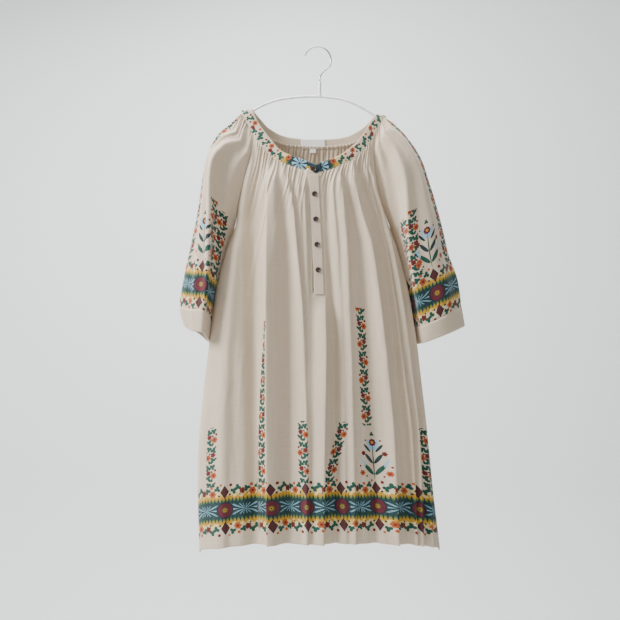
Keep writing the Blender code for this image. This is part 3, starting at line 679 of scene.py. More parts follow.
@dataclass
class Sleeve:
    """A raglan sleeve with its cuff, gathered at the neck and lying nearly flat.

    Attributes:
        side: which sleeve it is.
        table: the rows that its solid is built from.
        creases: its own creases.
        gathers: the small gathers at the neck.
        columns: how many cells it has round.
        rows: rows from the neck to the underarm, from there to the cuff, and down the cuff.
        seam: the gap at its seams.
        cuff_lip: how far the cuff's cloth stands over the sleeve's.
    """

    side: Side
    table: tuple[tuple[float, ...], ...]
    creases: tuple[SleeveFold, ...]
    gathers: Gathers
    columns: int = 170
    rows: tuple[int, int, int] = (62, 46, 12)
    seam: float = 0.3
    cuff_lip: float = 0.5

    @property
    def left(self) -> bool:
        """Whether this is the sleeve at the viewer's left."""
        return self.side is Side.LEFT

    def seam_point(self, back: bool, level: float) -> np.ndarray:
        """A point of the sleeve's edge: along the raglan seam, then along its own underside seam."""
        outward = -1 if self.left else 1
        if level > UNDERARM_LEVEL:
            x, z = on_rows(self.table, level - 1)[:2]
            behind = smooth_step((level - UNDERARM_LEVEL) / 0.3)
            return np.array((x + outward * (0.8 - 2.8 * behind), 10.0 * behind, z))
        panel = BodyPanel(Panel.BACK if back else Panel.FRONT, (), None, 1, (1, 1), self.seam)
        point = panel.edge_point(self.left, level)
        point[0] += outward * (self.seam + 0.5 * smooth_step((level - 1) / (UNDERARM_LEVEL - 1)))
        return point

    def ring(self, level: float) -> np.ndarray:
        """Six corners round the sleeve at a level, from the front seam round to the back seam."""
        values = on_rows(self.table, level - 1)
        outer_x, outer_z, crease_x, crease_y, face_x, face_y = values[2:8]
        back_x, back_y, crease_lift, face_lift = values[8:]
        front_seam, back_seam = self.seam_point(False, level), self.seam_point(True, level)

        def height(x: float, seam: np.ndarray) -> float:
            """The height at x, on the line from a seam to the sleeve's outer edge."""
            return seam[2] + (outer_z - seam[2]) * (x - seam[0]) / (outer_x - seam[0])

        corners = [
            front_seam,
            (crease_x, crease_y, height(crease_x, front_seam) + crease_lift),
            (face_x, face_y, height(face_x, front_seam) + face_lift),
            (outer_x, 0.0, outer_z),
            (back_x, back_y, height(back_x, back_seam)),
            back_seam,
        ]
        return np.array(corners)

    def shape(self) -> tuple[np.ndarray, np.ndarray]:
        """Works out the points of the sleeve and its cuff, and each row's level."""
        small = 0.05
        if self.left:
            first, last = FRONT_LEFT_RAGLAN + small, BACK_LEFT_RAGLAN - small
        else:
            first, last = FRONT_RIGHT_RAGLAN - small, BACK_RIGHT_RAGLAN + small
        neck = below_band(np.linspace(first, last, self.columns + 1), self.seam)
        upper, lower, cuff = self.rows
        levels = np.concatenate(
            [
                UNDERARM_LEVEL * np.linspace(0, 1, upper + 1) ** 1.35,
                np.linspace(UNDERARM_LEVEL, SLEEVE_END_LEVEL, lower + 1)[1:],
                np.linspace(SLEEVE_END_LEVEL, CUFF_END_LEVEL, cuff + 1)[1:],
            ]
        )
        around = np.linspace(0, 5, self.columns + 1)
        first_ring = on_rows(self.ring(1), around)
        rows = []
        for level in levels:
            if level < 1:
                ring = neck + (first_ring - neck) * level
                ring = pin_ends(ring, self.seam_point(False, level), self.seam_point(True, level))
            else:
                ring = on_rows(self.ring(level), around)
            rows.append(ring)
        grid = np.array(rows)
        grid[0] = neck
        normals = grid_normals(grid) * (-1 if self.left else 1)
        calm = smooth_step(np.sin(np.linspace(0, math.pi, self.columns + 1)) / 0.25)
        below_neck = down_from_top(grid)
        push = self.gathers.heights(around[None, :] / 5, below_neck)
        before_cuff = smooth_step((SLEEVE_END_LEVEL - levels) / 0.5)[:, None]
        on_sleeve = smooth_step(below_neck / 50.0) * (0.25 + 0.75 * before_cuff)
        for crease in self.creases:
            push = push + np.array([crease.height(around, level) for level in levels]) * on_sleeve
        waves = 1.8 * soft_noise(grid, (30.0, 30.0, 90.0), 5.3)
        puckers = 0.5 * soft_noise(grid, (10, 12, 30), 1.9)
        push += (waves + puckers) * on_sleeve
        to_end = SLEEVE_END_LEVEL - levels
        near_end = (np.exp(-((to_end / 0.16) ** 2)) * (to_end > 0))[:, None]
        push += 0.5 * near_end * np.sin(around * 26 + 3 * np.sin(around * 5))
        pinch = 0.9 * np.exp(-((np.minimum(around, 5 - around) / 0.06) ** 2))
        grid += normals * (push * calm - pinch)[..., None]
        under = levels >= UNDERARM_LEVEL
        grid[under, -1] = grid[under, 0]
        return grid, levels

    def print_places(self, grid: np.ndarray, levels: np.ndarray) -> tuple[np.ndarray, np.ndarray]:
        """Where each point lies on the printed cloth: round the sleeve, and up from the cuff."""
        end = int(np.argmin(np.abs(levels - SLEEVE_END_LEVEL)))
        girth = along(grid[end])
        middle = np.interp(1.45 if self.left else 1.8, np.linspace(0, 5, self.columns + 1), girth)
        print_u = np.repeat((girth - middle)[None, :], len(grid), axis=0) + SLEEVE_PRINT_START
        rises = down_from_top(grid[::-1])[::-1]
        return print_u, rises - rises[end]

    def build(
        self, cloth: bpy.types.Material, plain: bpy.types.Material, thread: "SewingThread"
    ) -> list[bpy.types.Object]:
        """Builds the sleeve and its cuff.

        Args:
            cloth: the printed cotton.
            plain: the bare cotton of the cuff.
            thread: the rows of stitches.

        Returns:
            The two pieces.
        """
        grid, levels = self.shape()
        print_u, print_v = self.print_places(grid, levels)
        turn = -1 if self.left else 1
        normals = grid_normals(grid) * turn
        end = int(np.argmin(np.abs(levels - SLEEVE_END_LEVEL)))
        up = unit(grid[0] - grid[1])
        tuck = np.array([grid[0] + up * 7.0 - normals[0] * 2.2, grid[0] + up * 3.2 - normals[0] * 1.9])
        below = grid[end:end + 3] - normals[end:end + 3] * 1.2
        sleeve = np.concatenate([tuck, grid[: end + 1], below[1:]])
        rows = np.concatenate([[0, 0], np.arange(end + 1), [end, end]]).astype(int)
        name = f"sleeve_panel_{self.side.value}"
        pieces = [ClothSheet(name, sleeve, print_u[rows], print_v[rows], turn).build(cloth)]
        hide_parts(f"sleeve_{self.side.value}")
        pieces.append(self.build_cuff(grid[end:], normals[end:], turn, plain))
        for row in (end + 1, len(grid) - 2):
            thread.add(grid[row, 3:-3] + normals[row, 3:-3] * (self.cuff_lip + 0.4), normals[row, 3:-3])
        for piece in pieces:
            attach(piece, "root")
        return pieces

    def build_cuff(
        self, grid: np.ndarray, normals: np.ndarray, turn: int, plain: bpy.types.Material
    ) -> bpy.types.Object:
        """Builds the cuff: a band folded double at its end.

        Args:
            grid: the cuff's points, from the sleeve's end down.
            normals: its outward normals.
            turn: 1 or -1, as the sleeve's faces are turned.
            plain: the bare cotton.

        Returns:
            The cuff.
        """
        lifted = grid + normals * self.cuff_lip
        lifted[0] -= normals[0] * self.cuff_lip * 1.4
        down = unit(grid[-1] - grid[-2])
        fold = [lifted[-1] + down * 0.5 - normals[-1] * 0.5, lifted[-1] + down * 0.3 - normals[-1] * 1.4]
        inner = (lifted - normals * 1.9)[::-1]
        full = np.concatenate([lifted, fold, inner])
        full[:, -1] = full[:, 0]
        girth = np.repeat(along(grid[0])[None, :], len(full), axis=0)
        rise = np.repeat(along(full[:, self.columns // 2])[:, None], full.shape[1], axis=1) - 900.0
        piece = ClothSheet(f"cuff_band_{self.side.value}", full, girth, rise, turn).build(plain)
        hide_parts(f"cuff_{self.side.value}")
        return piece


def rounded_profile(height: float, wall: float, cells: int, puff: float) -> list[tuple[float, float]]:
    """Outline of a flat band's cross-section, from its lower edge up its outer face and down its inner one.

    Args:
        height: the band's height.
        wall: its thickness.
        cells: cells up each face.
        puff: how far the faces bulge between their edges.

    Returns:
        Pairs of a share of the height and an offset outwards, closed.
    """
    half = wall / 2
    lip = half / height
    faces = np.linspace(lip, 1 - lip, cells + 1)
    outer = [(share, half + puff * math.sin(math.pi * share)) for share in faces]
    top = [(1 - 0.3 * lip, half * 0.7), (1.0, 0.0), (1 - 0.3 * lip, -half * 0.7)]
    inner = [(share, -offset) for share, offset in reversed(outer)]
    foot = [(0.3 * lip, -half * 0.7), (0.0, 0.0), (0.3 * lip, half * 0.7)]
    return outer + top + inner + foot + outer[:1]


@dataclass
class SewingThread:
    """Rows of stitches: short rounded lengths of thread laid end to end.

    Attributes:
        pitch: from the start of one stitch to the next.
        length: how much of each stitch shows.
        radius: the thread's radius.
    """

    pitch: float = 2.9
    length: float = 2.3
    radius: float = 0.26
    rows: list[tuple[np.ndarray, np.ndarray]] = field(default_factory=list)

    def add(self, line: np.ndarray, normals: np.ndarray) -> None:
        """Adds a row of stitches along a line that lies on the cloth."""
        self.rows.append((line, normals))

    def build(self, name: str, material: bpy.types.Material) -> bpy.types.Object:
        """Builds every row as one piece.

        Args:
            name: the piece's name.
            material: the thread.

        Returns:
            The piece.
        """
        bm = bmesh.new()
        for line, normals in self.rows:
            row = bpy.data.meshes.new("row")
            self.sew(line, normals, row)
            bm.from_mesh(row)
            bpy.data.meshes.remove(row)
        return mesh_piece(name, bm, material)

    def sew(self, line: np.ndarray, normals: np.ndarray, row: bpy.types.Mesh) -> None:
        """Fills a mesh with one row of stitches."""
        bm = bmesh.new()
        length = along(line)
        for place in np.arange(self.pitch, length[-1] - self.pitch / 2, self.pitch):
            middle = [np.interp(place, length, line[:, axis]) for axis in range(3)]
            ahead = [np.interp(place + 0.6, length, line[:, axis]) for axis in range(3)]
            out = Vector([np.interp(place, length, normals[:, axis]) for axis in range(3)]).normalized()
            way = (Vector(ahead) - Vector(middle)).normalized()
            turn = Matrix((out.cross(way).normalized(), out, way)).transposed().to_4x4()
            size = Matrix.Diagonal((self.radius, self.radius * 0.8, self.length / 2, 1.0))
            spot = Matrix.Translation((Vector(middle) + out * self.radius * 0.25) * MM)
            bmesh.ops.create_uvsphere(
                bm, u_segments=6, v_segments=4, radius=1.0, matrix=spot @ turn @ Matrix.Scale(MM, 4) @ size
            )
        bmesh.ops.recalc_face_normals(bm, faces=bm.faces)
        bm.to_mesh(row)
        bm.free()


def mesh_piece(name: str, bm: bmesh.types.BMesh, material: bpy.types.Material) -> bpy.types.Object:
    """Turns a bmesh into a piece that rides with the dress."""
    piece = new_object(name, bm, material)
    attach(piece, "root")
    return piece


@dataclass
class Neckband:
    """The printed band round the neck, its ends lapped at the front under one button.

    Attributes:
        stations: cells round the neck.
        wall: the band's thickness.
        width: how wide the band is.
        lap_rows: how far the upper end laps over the other, in rows of the band's table.
        lap_step: how far the lapped end stands in front of the other.
    """

    stations: int = 420
    wall: float = 2.0
    width: float = 22.0
    lap_rows: float = 0.2
    lap_step: float = 2.3

    def build(self, printed: bpy.types.Material, thread: SewingThread) -> bpy.types.Object:
        """Builds the band and adds its two rows of stitches to the thread.

        Args:
            printed: the printed band's finish.
            thread: the rows of stitches.

        Returns:
            The band.
        """
        last = len(NECKBAND) - 1
        at = np.linspace(-self.lap_rows, last, self.stations + 1)
        upper, lower = band_edges(np.where(at < 0, at + last, at))
        lapped = smooth_step((self.lap_rows - at) / self.lap_rows)[:, None]
        step = self.lap_step * lapped * np.array([0.0, -1.0, 0.0])
        upper, lower = upper + step, lower + step
        outward = -grid_normals(np.array([upper, lower]))[0]
        profile = rounded_profile(self.width, self.wall, 7, 0.25)
        height = upper - lower
        waver = 0.22 * np.sin(along(lower) * 0.75 + 2.2 * np.sin(along(lower) * 0.09))
        rows = []
        for share, offset in profile:
            sway = waver * (1 - share) * (offset > 0)
            rows.append(lower + height * share + outward * (offset + sway)[:, None])
        grid = np.array(rows)
        flat_ends = []
        for end in (0, -1):
            centre = np.array([lower[end] + height[end] * share for share, _ in profile])
            sign = 1 if end == 0 else -1
            centre -= sign * 0.5 * unit(lower[1] - lower[0] if end == 0 else lower[-1] - lower[-2])
            flat_ends.append(centre[:, None])
        grid = np.concatenate([flat_ends[0], grid, flat_ends[1]], axis=1)
        length = along(lower)
        start = np.interp(0.0, at, length)
        round_neck = np.minimum(np.abs(length - start), length[-1] - length)
        round_neck = np.pad(round_neck, 1, mode="edge")
        half_way = len(round_neck) // 2
        round_neck[:half_way] -= BAND_PRINT_SHIFT
        print_u = np.repeat(round_neck[None, :], len(profile), axis=0)
        shares, offsets = np.array(profile).T
        rise = np.where(offsets > -0.45 * self.wall, self.width * shares, -OUT_OF_REACH)
        print_v = np.repeat(rise[:, None], grid.shape[1], axis=1)
        sheet = ClothSheet("neckband_printed", grid, print_u, print_v, 1, thickness=0.0)
        piece = sheet.build(printed)
        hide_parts("neckband")
        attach(piece, "root")
        for share in (0.075, 0.925):
            face = np.interp(share, [p[0] for p in profile[:8]], [p[1] for p in profile[:8]])
            thread.add(lower + height * share + outward * face, outward)
        return piece


@dataclass
class Placket:
    """The strip that carries the buttons, over the front's slit, and the strip behind it.

    Attributes:
        half_width: half the outer strip's width.
        under_half_width: half the inner strip's width.
        lift: how far each strip's middle lies from the front's.
        wall: the strips' thickness.
        rows: how many cells each strip has down its length.
    """

    half_width: float = 10.0
    under_half_width: float = 8.0
    lift: float = 2.0
    wall: float = 1.4
    rows: int = 120

    def depth(self, z: np.ndarray | float) -> np.ndarray:
        """Depth of the front's middle surface under the placket."""
        return np.interp(-np.asarray(z), (-PLACKET_TOP[1], -PLACKET_END[1]), FLAT_DEPTHS)

    def strip(
        self, name: str, half_width: float, outward: float, cloth: bpy.types.Material
    ) -> bpy.types.Object:
        """Builds one of the strips.

        Args:
            name: the piece's name.
            half_width: half its width.
            outward: -1 in front of the panel and 1 behind it.
            cloth: the bare cotton.

        Returns:
            The strip.
        """
        top, foot = PLACKET_TOP[1], PLACKET_END[1]
        z = np.linspace(top, foot, self.rows + 1)
        middle = placket_middle(z)
        profile = rounded_profile(2 * half_width, self.wall, 10, 0.12)
        line = []
        for share, offset in profile:
            x = middle + (2 * share - 1) * half_width
            pucker = 0.14 * np.sin(z * 0.9 + 3 * np.sin(z * 0.13)) * abs(2 * share - 1) ** 6
            y = self.depth(z) + outward * self.lift - (offset + pucker * (offset > 0))
            line.append(np.stack([x, y, z], axis=-1))
        grid = np.array(line).transpose(1, 0, 2)
        ends = []
        for row, way in ((0, 0.3), (-1, -0.3)):
            flat = grid[row].copy()
            flat[:, 1] = self.depth(z[row]) + outward * self.lift
            flat[:, 2] += way
            ends.append(flat[None])
        grid = np.concatenate([ends[0], grid, ends[1]])
        bare = np.full(grid.shape[:2], -900.0)
        across = np.repeat(along(grid[5])[None, :], len(grid), axis=0)
        piece = ClothSheet(name, grid, across, bare + grid[..., 2], 1, thickness=0.0).build(cloth)
        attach(piece, "root")
        return piece

    def build(self, cloth: bpy.types.Material, thread: SewingThread) -> list[bpy.types.Object]:
        """Builds both strips and adds the rows of stitches that hold them.

        Args:
            cloth: the bare cotton.
            thread: the rows of stitches.

        Returns:
            The strips.
        """
        over = self.strip("placket_strip", self.half_width, -1, cloth)
        under = self.strip("placket_facing", self.under_half_width, 1, cloth)
        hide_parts("placket")
        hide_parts("placket_under")
        z = np.linspace(PLACKET_TOP[1] - 1, PLACKET_END[1] + 2, 60)
        face = self.depth(z) - self.lift - self.wall / 2 - 0.03
        out = np.array([[0.0, -1.0, 0.0]])
        for side in (-1, 1):
            line = np.stack([placket_middle(z) + side * (self.half_width - 1.8), face, z], axis=-1)
            thread.add(line, np.repeat(out, len(line), axis=0))
        for rise in (2.0, 16.0):
            height = PLACKET_END[1] + rise
            x = placket_middle(height) + np.linspace(-1, 1, 12) * (self.half_width - 1.8)
            flat = np.full_like(x, self.depth(height) - self.lift - self.wall / 2 - 0.1)
            thread.add(np.stack([x, flat, np.full_like(x, height)], axis=-1), np.repeat(out, len(x), axis=0))
        return [over, under]


@dataclass
class Buttons:
    """Four-hole shirt buttons, one on the neckband and the others down the placket.

    Attributes:
        radius: the button's radius.
        thick: its thickness.
        hole_radius: the radius of each thread hole.
        hole_place: how far each hole lies from the middle.
        segments: how many cells it has round its rim.
    """

    radius: float = 5.6
    thick: float = 2.2
    hole_radius: float = 0.72
    hole_place: float = 1.45
    segments: int = 48

    def disc(self) -> bpy.types.Mesh:
        """One button with its rim and its four holes, lying in the XY plane with its back at z = 0."""
        profile = (
            (0.0, 0.50), (0.46, 0.50), (0.60, 0.56), (0.70, 0.78), (0.80, 0.97), (0.88, 1.0), (0.95, 0.92),
            (0.995, 0.66), (1.0, 0.45), (0.96, 0.18), (0.86, 0.0), (0.0, 0.0),
        )
        bm = bmesh.new()
        verts = [
            bm.verts.new((share * self.radius * MM, 0.0, rise * self.thick * MM)) for share, rise in profile
        ]
        edges = [bm.edges.new(pair) for pair in zip(verts, verts[1:])]
        bmesh.ops.spin(
            bm, geom=verts + edges, cent=(0, 0, 0), axis=(0, 0, 1), dvec=(0, 0, 0),
            angle=2 * math.pi, steps=self.segments, use_merge=True,
        )
        bmesh.ops.remove_doubles(bm, verts=bm.verts, dist=0.01 * MM)
        bmesh.ops.recalc_face_normals(bm, faces=bm.faces)
        mesh = bpy.data.meshes.new("button_disc")
        bm.to_mesh(mesh)
        bm.free()
        return self.drilled(mesh)

    def drilled(self, mesh: bpy.types.Mesh) -> bpy.types.Mesh:
        """The disc with its holes cut through it."""
        drill = bmesh.new()
        for quarter in range(4):
            angle = math.radians(45 + 90 * quarter)
            place = Vector((math.cos(angle), math.sin(angle), 0.0)) * self.hole_place * MM
            spot = Matrix.Translation(place + Vector((0, 0, self.thick * MM / 2)))
            bmesh.ops.create_cone(
                drill, cap_ends=True, segments=14, radius1=self.hole_radius * MM,
                radius2=self.hole_radius * MM, depth=self.thick * MM * 2, matrix=spot,
            )
        cutter_mesh = bpy.data.meshes.new("drill")
        drill.to_mesh(cutter_mesh)
        drill.free()
        disc = bpy.data.objects.new("disc", mesh)
        cutter = bpy.data.objects.new("drill", cutter_mesh)
        for obj in (disc, cutter):
            bpy.context.scene.collection.objects.link(obj)
        cut = disc.modifiers.new("holes", "BOOLEAN")
        cut.object = cutter
        cut.solver = "EXACT"
        bpy.context.view_layer.update()
        graph = bpy.context.evaluated_depsgraph_get()
        drilled = bpy.data.meshes.new_from_object(disc.evaluated_get(graph))
        for obj in (disc, cutter):
            bpy.data.objects.remove(obj, do_unlink=True)
        return drilled

    def build(self, resin: bpy.types.Material, thread: bpy.types.Material) -> list[bpy.types.Object]:
        """Builds every button where its solid is, sewn on with two bars of thread.

        Args:
            resin: the buttons' finish.
            thread: the thread's finish.

        Returns:
            The buttons.
        """
        disc = self.disc()
        pieces = []
        for number in range(1, 6):
            low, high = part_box(f"button_{number}")
            middle = Vector(((low[0] + high[0]) / 2, high[1], (low[2] + high[2]) / 2))
            upright = Matrix.Rotation(math.radians(90), 4, "X")
            stand = upright @ Matrix.Rotation(math.radians(7 * number), 4, "Z")
            bm = bmesh.new()
            bm.from_mesh(disc)
            bmesh.ops.transform(bm, matrix=Matrix.Translation(middle) @ stand, verts=bm.verts)
            button = mesh_piece(f"button_disc_{number}", bm, resin)
            button.data.set_sharp_from_angle(angle=math.radians(40))
            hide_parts(f"button_{number}")
            pieces.append(button)
            self.sew(number, middle, stand, thread)
        return pieces

    def sew(self, number: int, middle: Vector, stand: Matrix, thread: bpy.types.Material) -> None:
        """Adds the two bars of thread through a button's holes, and its shank behind."""
        bm = bmesh.new()
        place = self.hole_place * math.sin(math.radians(45))
        for side in (-1, 1):
            size = Matrix.Diagonal((place * 1.5, 0.34, 0.34, 1.0))
            spot = Matrix.Translation(Vector((0, side * place, self.thick * 0.53)) * MM)
            bmesh.ops.create_uvsphere(
                bm, u_segments=10, v_segments=6, radius=1.0, matrix=spot @ Matrix.Scale(MM, 4) @ size
            )
        shank = Matrix.Translation(Vector((0, 0, -0.1)) * MM)
        bmesh.ops.create_cone(
            bm, cap_ends=True, segments=12, radius1=1.6 * MM, radius2=1.3 * MM, depth=0.8 * MM, matrix=shank
        )
        bmesh.ops.transform(bm, matrix=Matrix.Translation(middle) @ stand, verts=bm.verts)
        mesh_piece(f"button_thread_{number}", bm, thread)


@dataclass
class NeckTabs:
    """The two bare woven tabs inside the back of the neckband.

    Attributes:
        bow: how far a tab's middle stands off the band.
        wall: a tab's thickness.
    """

    bow: float = 0.5
    wall: float = 0.6

    def build(self, tape: bpy.types.Material, thread: SewingThread) -> list[bpy.types.Object]:
        """Builds both tabs and adds the stitches at the label's ends.

        Args:
            tape: the woven tape.
            thread: the rows of stitches.

        Returns:
            The tabs.
        """
        pieces = []
        for node in ("label", "size_tab"):
            low, high = (np.array(corner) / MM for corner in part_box(node))
            x = np.linspace(low[0], high[0], 33)
            z = np.linspace(high[2], low[2], 15)
            grid = np.zeros((len(z), len(x), 3))
            grid[..., 0], grid[..., 2] = x[None, :], z[:, None]
            across = (x - low[0]) / (high[0] - low[0])
            down = (high[2] - z) / (high[2] - low[2])
            hang = np.outer(down ** 2, np.sin(math.pi * across))
            grid[..., 1] = high[1] - self.wall / 2 - self.bow * hang
            flat = np.full(grid.shape[:2], 0.0)
            name = "neck_label_bare" if node == "label" else "size_tab_bare"
            sheet = ClothSheet(name, grid, flat + grid[..., 0], flat + grid[..., 2], 1, thickness=self.wall)
            piece = sheet.build(tape)
            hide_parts(node)
            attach(piece, "root")
            pieces.append(piece)
            if node == "label":
                normals = np.repeat([[0.0, -1.0, 0.0]], len(z) - 2, axis=0)
                for column in (1, -2):
                    thread.add(grid[1:-1, column] - np.array([0, self.wall / 2, 0]), normals)
        return pieces


@dataclass
class Hanger:
    """The wire hanger: coated arms, a coated stem and a plated hook.

    Attributes:
        arm_points: places along the arms.
        arm_radius: radius of the coated wire.
        hook_radius: radius of the hook's centre line.
        hook_wire: radius of the plated wire.
        hook_neck: where the hook's wire runs from the hook down to the stem.
        tip_angle: where the hook's round part starts, in degrees.
        leave_angle: where it ends.
        stem_x: where the stem stands.
        stem_top: the stem's upper end.
        stem_foot: its lower end.
    """

    arm_points: tuple[tuple[float, float], ...] = (
        (-195, -182), (-165, -156.5), (-133, -131.5), (-95, -114), (-55, -106), (-12, -103.5),
        (30, -106), (60, -112), (89, -124.5), (119, -142.5), (148, -161), (177, -185),
    )
    arm_radius: float = 2.6
    hook_radius: float = 28.5
    hook_wire: float = 1.6
    hook_neck: tuple[tuple[float, float], ...] = ((15.5, -48.0), (8.5, -56.0), (5.0, -64.0), (5.0, -72.5))
    tip_angle: float = 163.0
    leave_angle: float = -32.0
    stem_x: float = 5.0
    stem_top: float = -71.3
    stem_foot: float = -101.5

    def wire(
        self, name: str, points: np.ndarray, radii: np.ndarray, material: bpy.types.Material
    ) -> bpy.types.Object:
        """A round wire through points in the plane of the hanger, made a mesh.

        Args:
            name: the piece's name.
            points: x and z of each point.
            radii: the wire's radius at each point.
            material: its finish.

        Returns:
            The piece.
        """
        curve = bpy.data.curves.new(name, "CURVE")
        curve.dimensions = "3D"
        curve.bevel_depth = MM
        curve.bevel_resolution = 5
        curve.use_fill_caps = True
        spline = curve.splines.new("POLY")
        spline.points.add(len(points) - 1)
        for target, (x, z), radius in zip(spline.points, points, radii):
            target.co = (x * MM, 0.0, z * MM, 1.0)
            target.radius = radius
        bent = bpy.data.objects.new("bent_wire", curve)
        bpy.context.scene.collection.objects.link(bent)
        bpy.context.view_layer.update()
        mesh = bpy.data.meshes.new_from_object(bent.evaluated_get(bpy.context.evaluated_depsgraph_get()))
        bpy.data.objects.remove(bent, do_unlink=True)
        bm = bmesh.new()
        bm.from_mesh(mesh)
        bmesh.ops.remove_doubles(bm, verts=bm.verts, dist=0.005 * MM)
        bmesh.ops.recalc_face_normals(bm, faces=bm.faces)
        mesh.materials.clear()
        piece = mesh_piece(name, bm, material)
        piece.data.set_sharp_from_angle(angle=math.radians(50))
        return piece

    def round_ends(
        self, radii: np.ndarray, length: np.ndarray, radius: float, ends: tuple[bool, bool]
    ) -> np.ndarray:
        """Radii that close a wire's ends with a dome."""
        for end, rounded in enumerate(ends):
            if rounded:
                reach = np.abs(length - length[-1 if end else 0])
                dome = np.sqrt(np.clip(1 - (1 - reach / radius) ** 2, 0.02, 1))
                radii = np.where(reach < radius, radii * dome, radii)
        return radii

    def build(self, coated: bpy.types.Material, plated: bpy.types.Material) -> list[bpy.types.Object]:
        """Builds the arms, the stem and the hook where their solids are.

        Args:
            coated: the white dipped coating.
            plated: the plated wire.

        Returns:
            The three pieces.
        """
        arms = on_rows(self.arm_points, np.linspace(0, len(self.arm_points) - 1, 221))
        arms = np.concatenate([self.dense_end(arms[:2]), arms[1:-1], self.dense_end(arms[:-3:-1])[::-1]])
        length = along(arms)
        thick = self.arm_radius * (1 + 0.018 * np.sin(length * 0.11 + np.sin(length * 0.037)))
        thick = self.round_ends(thick, length, self.arm_radius, (True, True))
        arm = self.wire("hanger_arms", arms, thick, coated)
        angles = np.radians(np.linspace(self.tip_angle, self.leave_angle, 91))
        middle_z = self.hook_wire - self.hook_radius
        across, up = self.hook_radius * np.cos(angles), self.hook_radius * np.sin(angles)
        circle = np.stack([across, middle_z + up], axis=-1)
        neck = on_rows([tuple(circle[-1]), *self.hook_neck], np.linspace(0, len(self.hook_neck), 41))
        route = np.concatenate([self.dense_end(circle[:2]), circle[1:], neck[1:]])
        length = along(route)
        thin = self.round_ends(np.full(len(route), self.hook_wire), length, self.hook_wire, (True, False))
        hook = self.wire("hanger_hook_wire", route, thin, plated)
        heights = np.linspace(self.stem_top, self.stem_foot, 40)
        stem_line = np.stack([np.full(40, self.stem_x), heights], axis=-1)
        swell = 2.75 + 0.25 * smooth_step((self.stem_top - heights) / 14.0)
        swell = self.round_ends(swell, along(stem_line), 1.6, (True, False))
        flare = 1.5 * np.exp(-((heights - self.stem_foot) / 2.2) ** 2) * 0.4
        stem = self.wire("hanger_stem_sleeve", stem_line, swell + flare, coated)
        for piece, node, slot in (
            (arm, "hanger_bar", "coated_wire"),
            (stem, "hanger_stem", "coated_wire"),
            (hook, "hanger_hook", "plated_wire"),
        ):
            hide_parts(node)
        return [arm, stem, hook]

    def dense_end(self, pair: np.ndarray) -> np.ndarray:
        """Closely spaced points from an end to its neighbour, for a rounded tip."""
        share = (1 - np.cos(np.linspace(0, math.pi / 2, 9)))[:, None]
        return pair[0] + (pair[1] - pair[0]) * share


def linear(hex_colour: str) -> tuple[float, float, float, float]:
    """Turns an sRGB hex colour such as "#D7CEC3" to linear values with alpha 1."""
    values = [int(hex_colour[start:start + 2], 16) / 255 for start in (1, 3, 5)]
    return (*[v / 12.92 if v <= 0.04045 else ((v + 0.055) / 1.055) ** 2.4 for v in values], 1.0)


def add_node(
    tree: bpy.types.NodeTree, kind: str, inputs: dict[str | int, object] | None = None, **settings: object
) -> bpy.types.Node:
    """Adds a node to a tree.

    Args:
        tree: the node tree.
        kind: the node's type.
        inputs: a value or an output socket for each input, by name or number.
        settings: the node's own settings.

    Returns:
        The node.
    """
    node = tree.nodes.new(kind)
    for name, value in settings.items():
        setattr(node, name, value)
    for key, value in (inputs or {}).items():
        if isinstance(value, bpy.types.NodeSocket):
            tree.links.new(value, node.inputs[key])
        else:
            node.inputs[key].default_value = value
    return node


def new_material(name: str, **shader_values: object) -> tuple[bpy.types.Material, bpy.types.Node]:
    """A material with one Principled shader, and that shader with its sockets set."""
    made = bpy.data.materials.new(name)
    made.use_nodes = True
    made.node_tree.nodes.clear()
    inputs = {key.replace("_", " "): value for key, value in shader_values.items()}
    shader = add_node(made.node_tree, "ShaderNodeBsdfPrincipled", inputs)
    add_node(made.node_tree, "ShaderNodeOutputMaterial", {"Surface": shader.outputs[0]})
    return made, shader


def fill_ramp(ramp: bpy.types.Node, stops: Iterable[tuple[float, tuple[float, ...]]]) -> None:
    """Gives a colour ramp, which starts with two stops, a colour at each place."""
    elements = ramp.color_ramp.elements
    for number, (place, colour) in enumerate(stops):
        element = elements[number] if number < 2 else elements.new(place)
        element.position = place
        element.color = colour


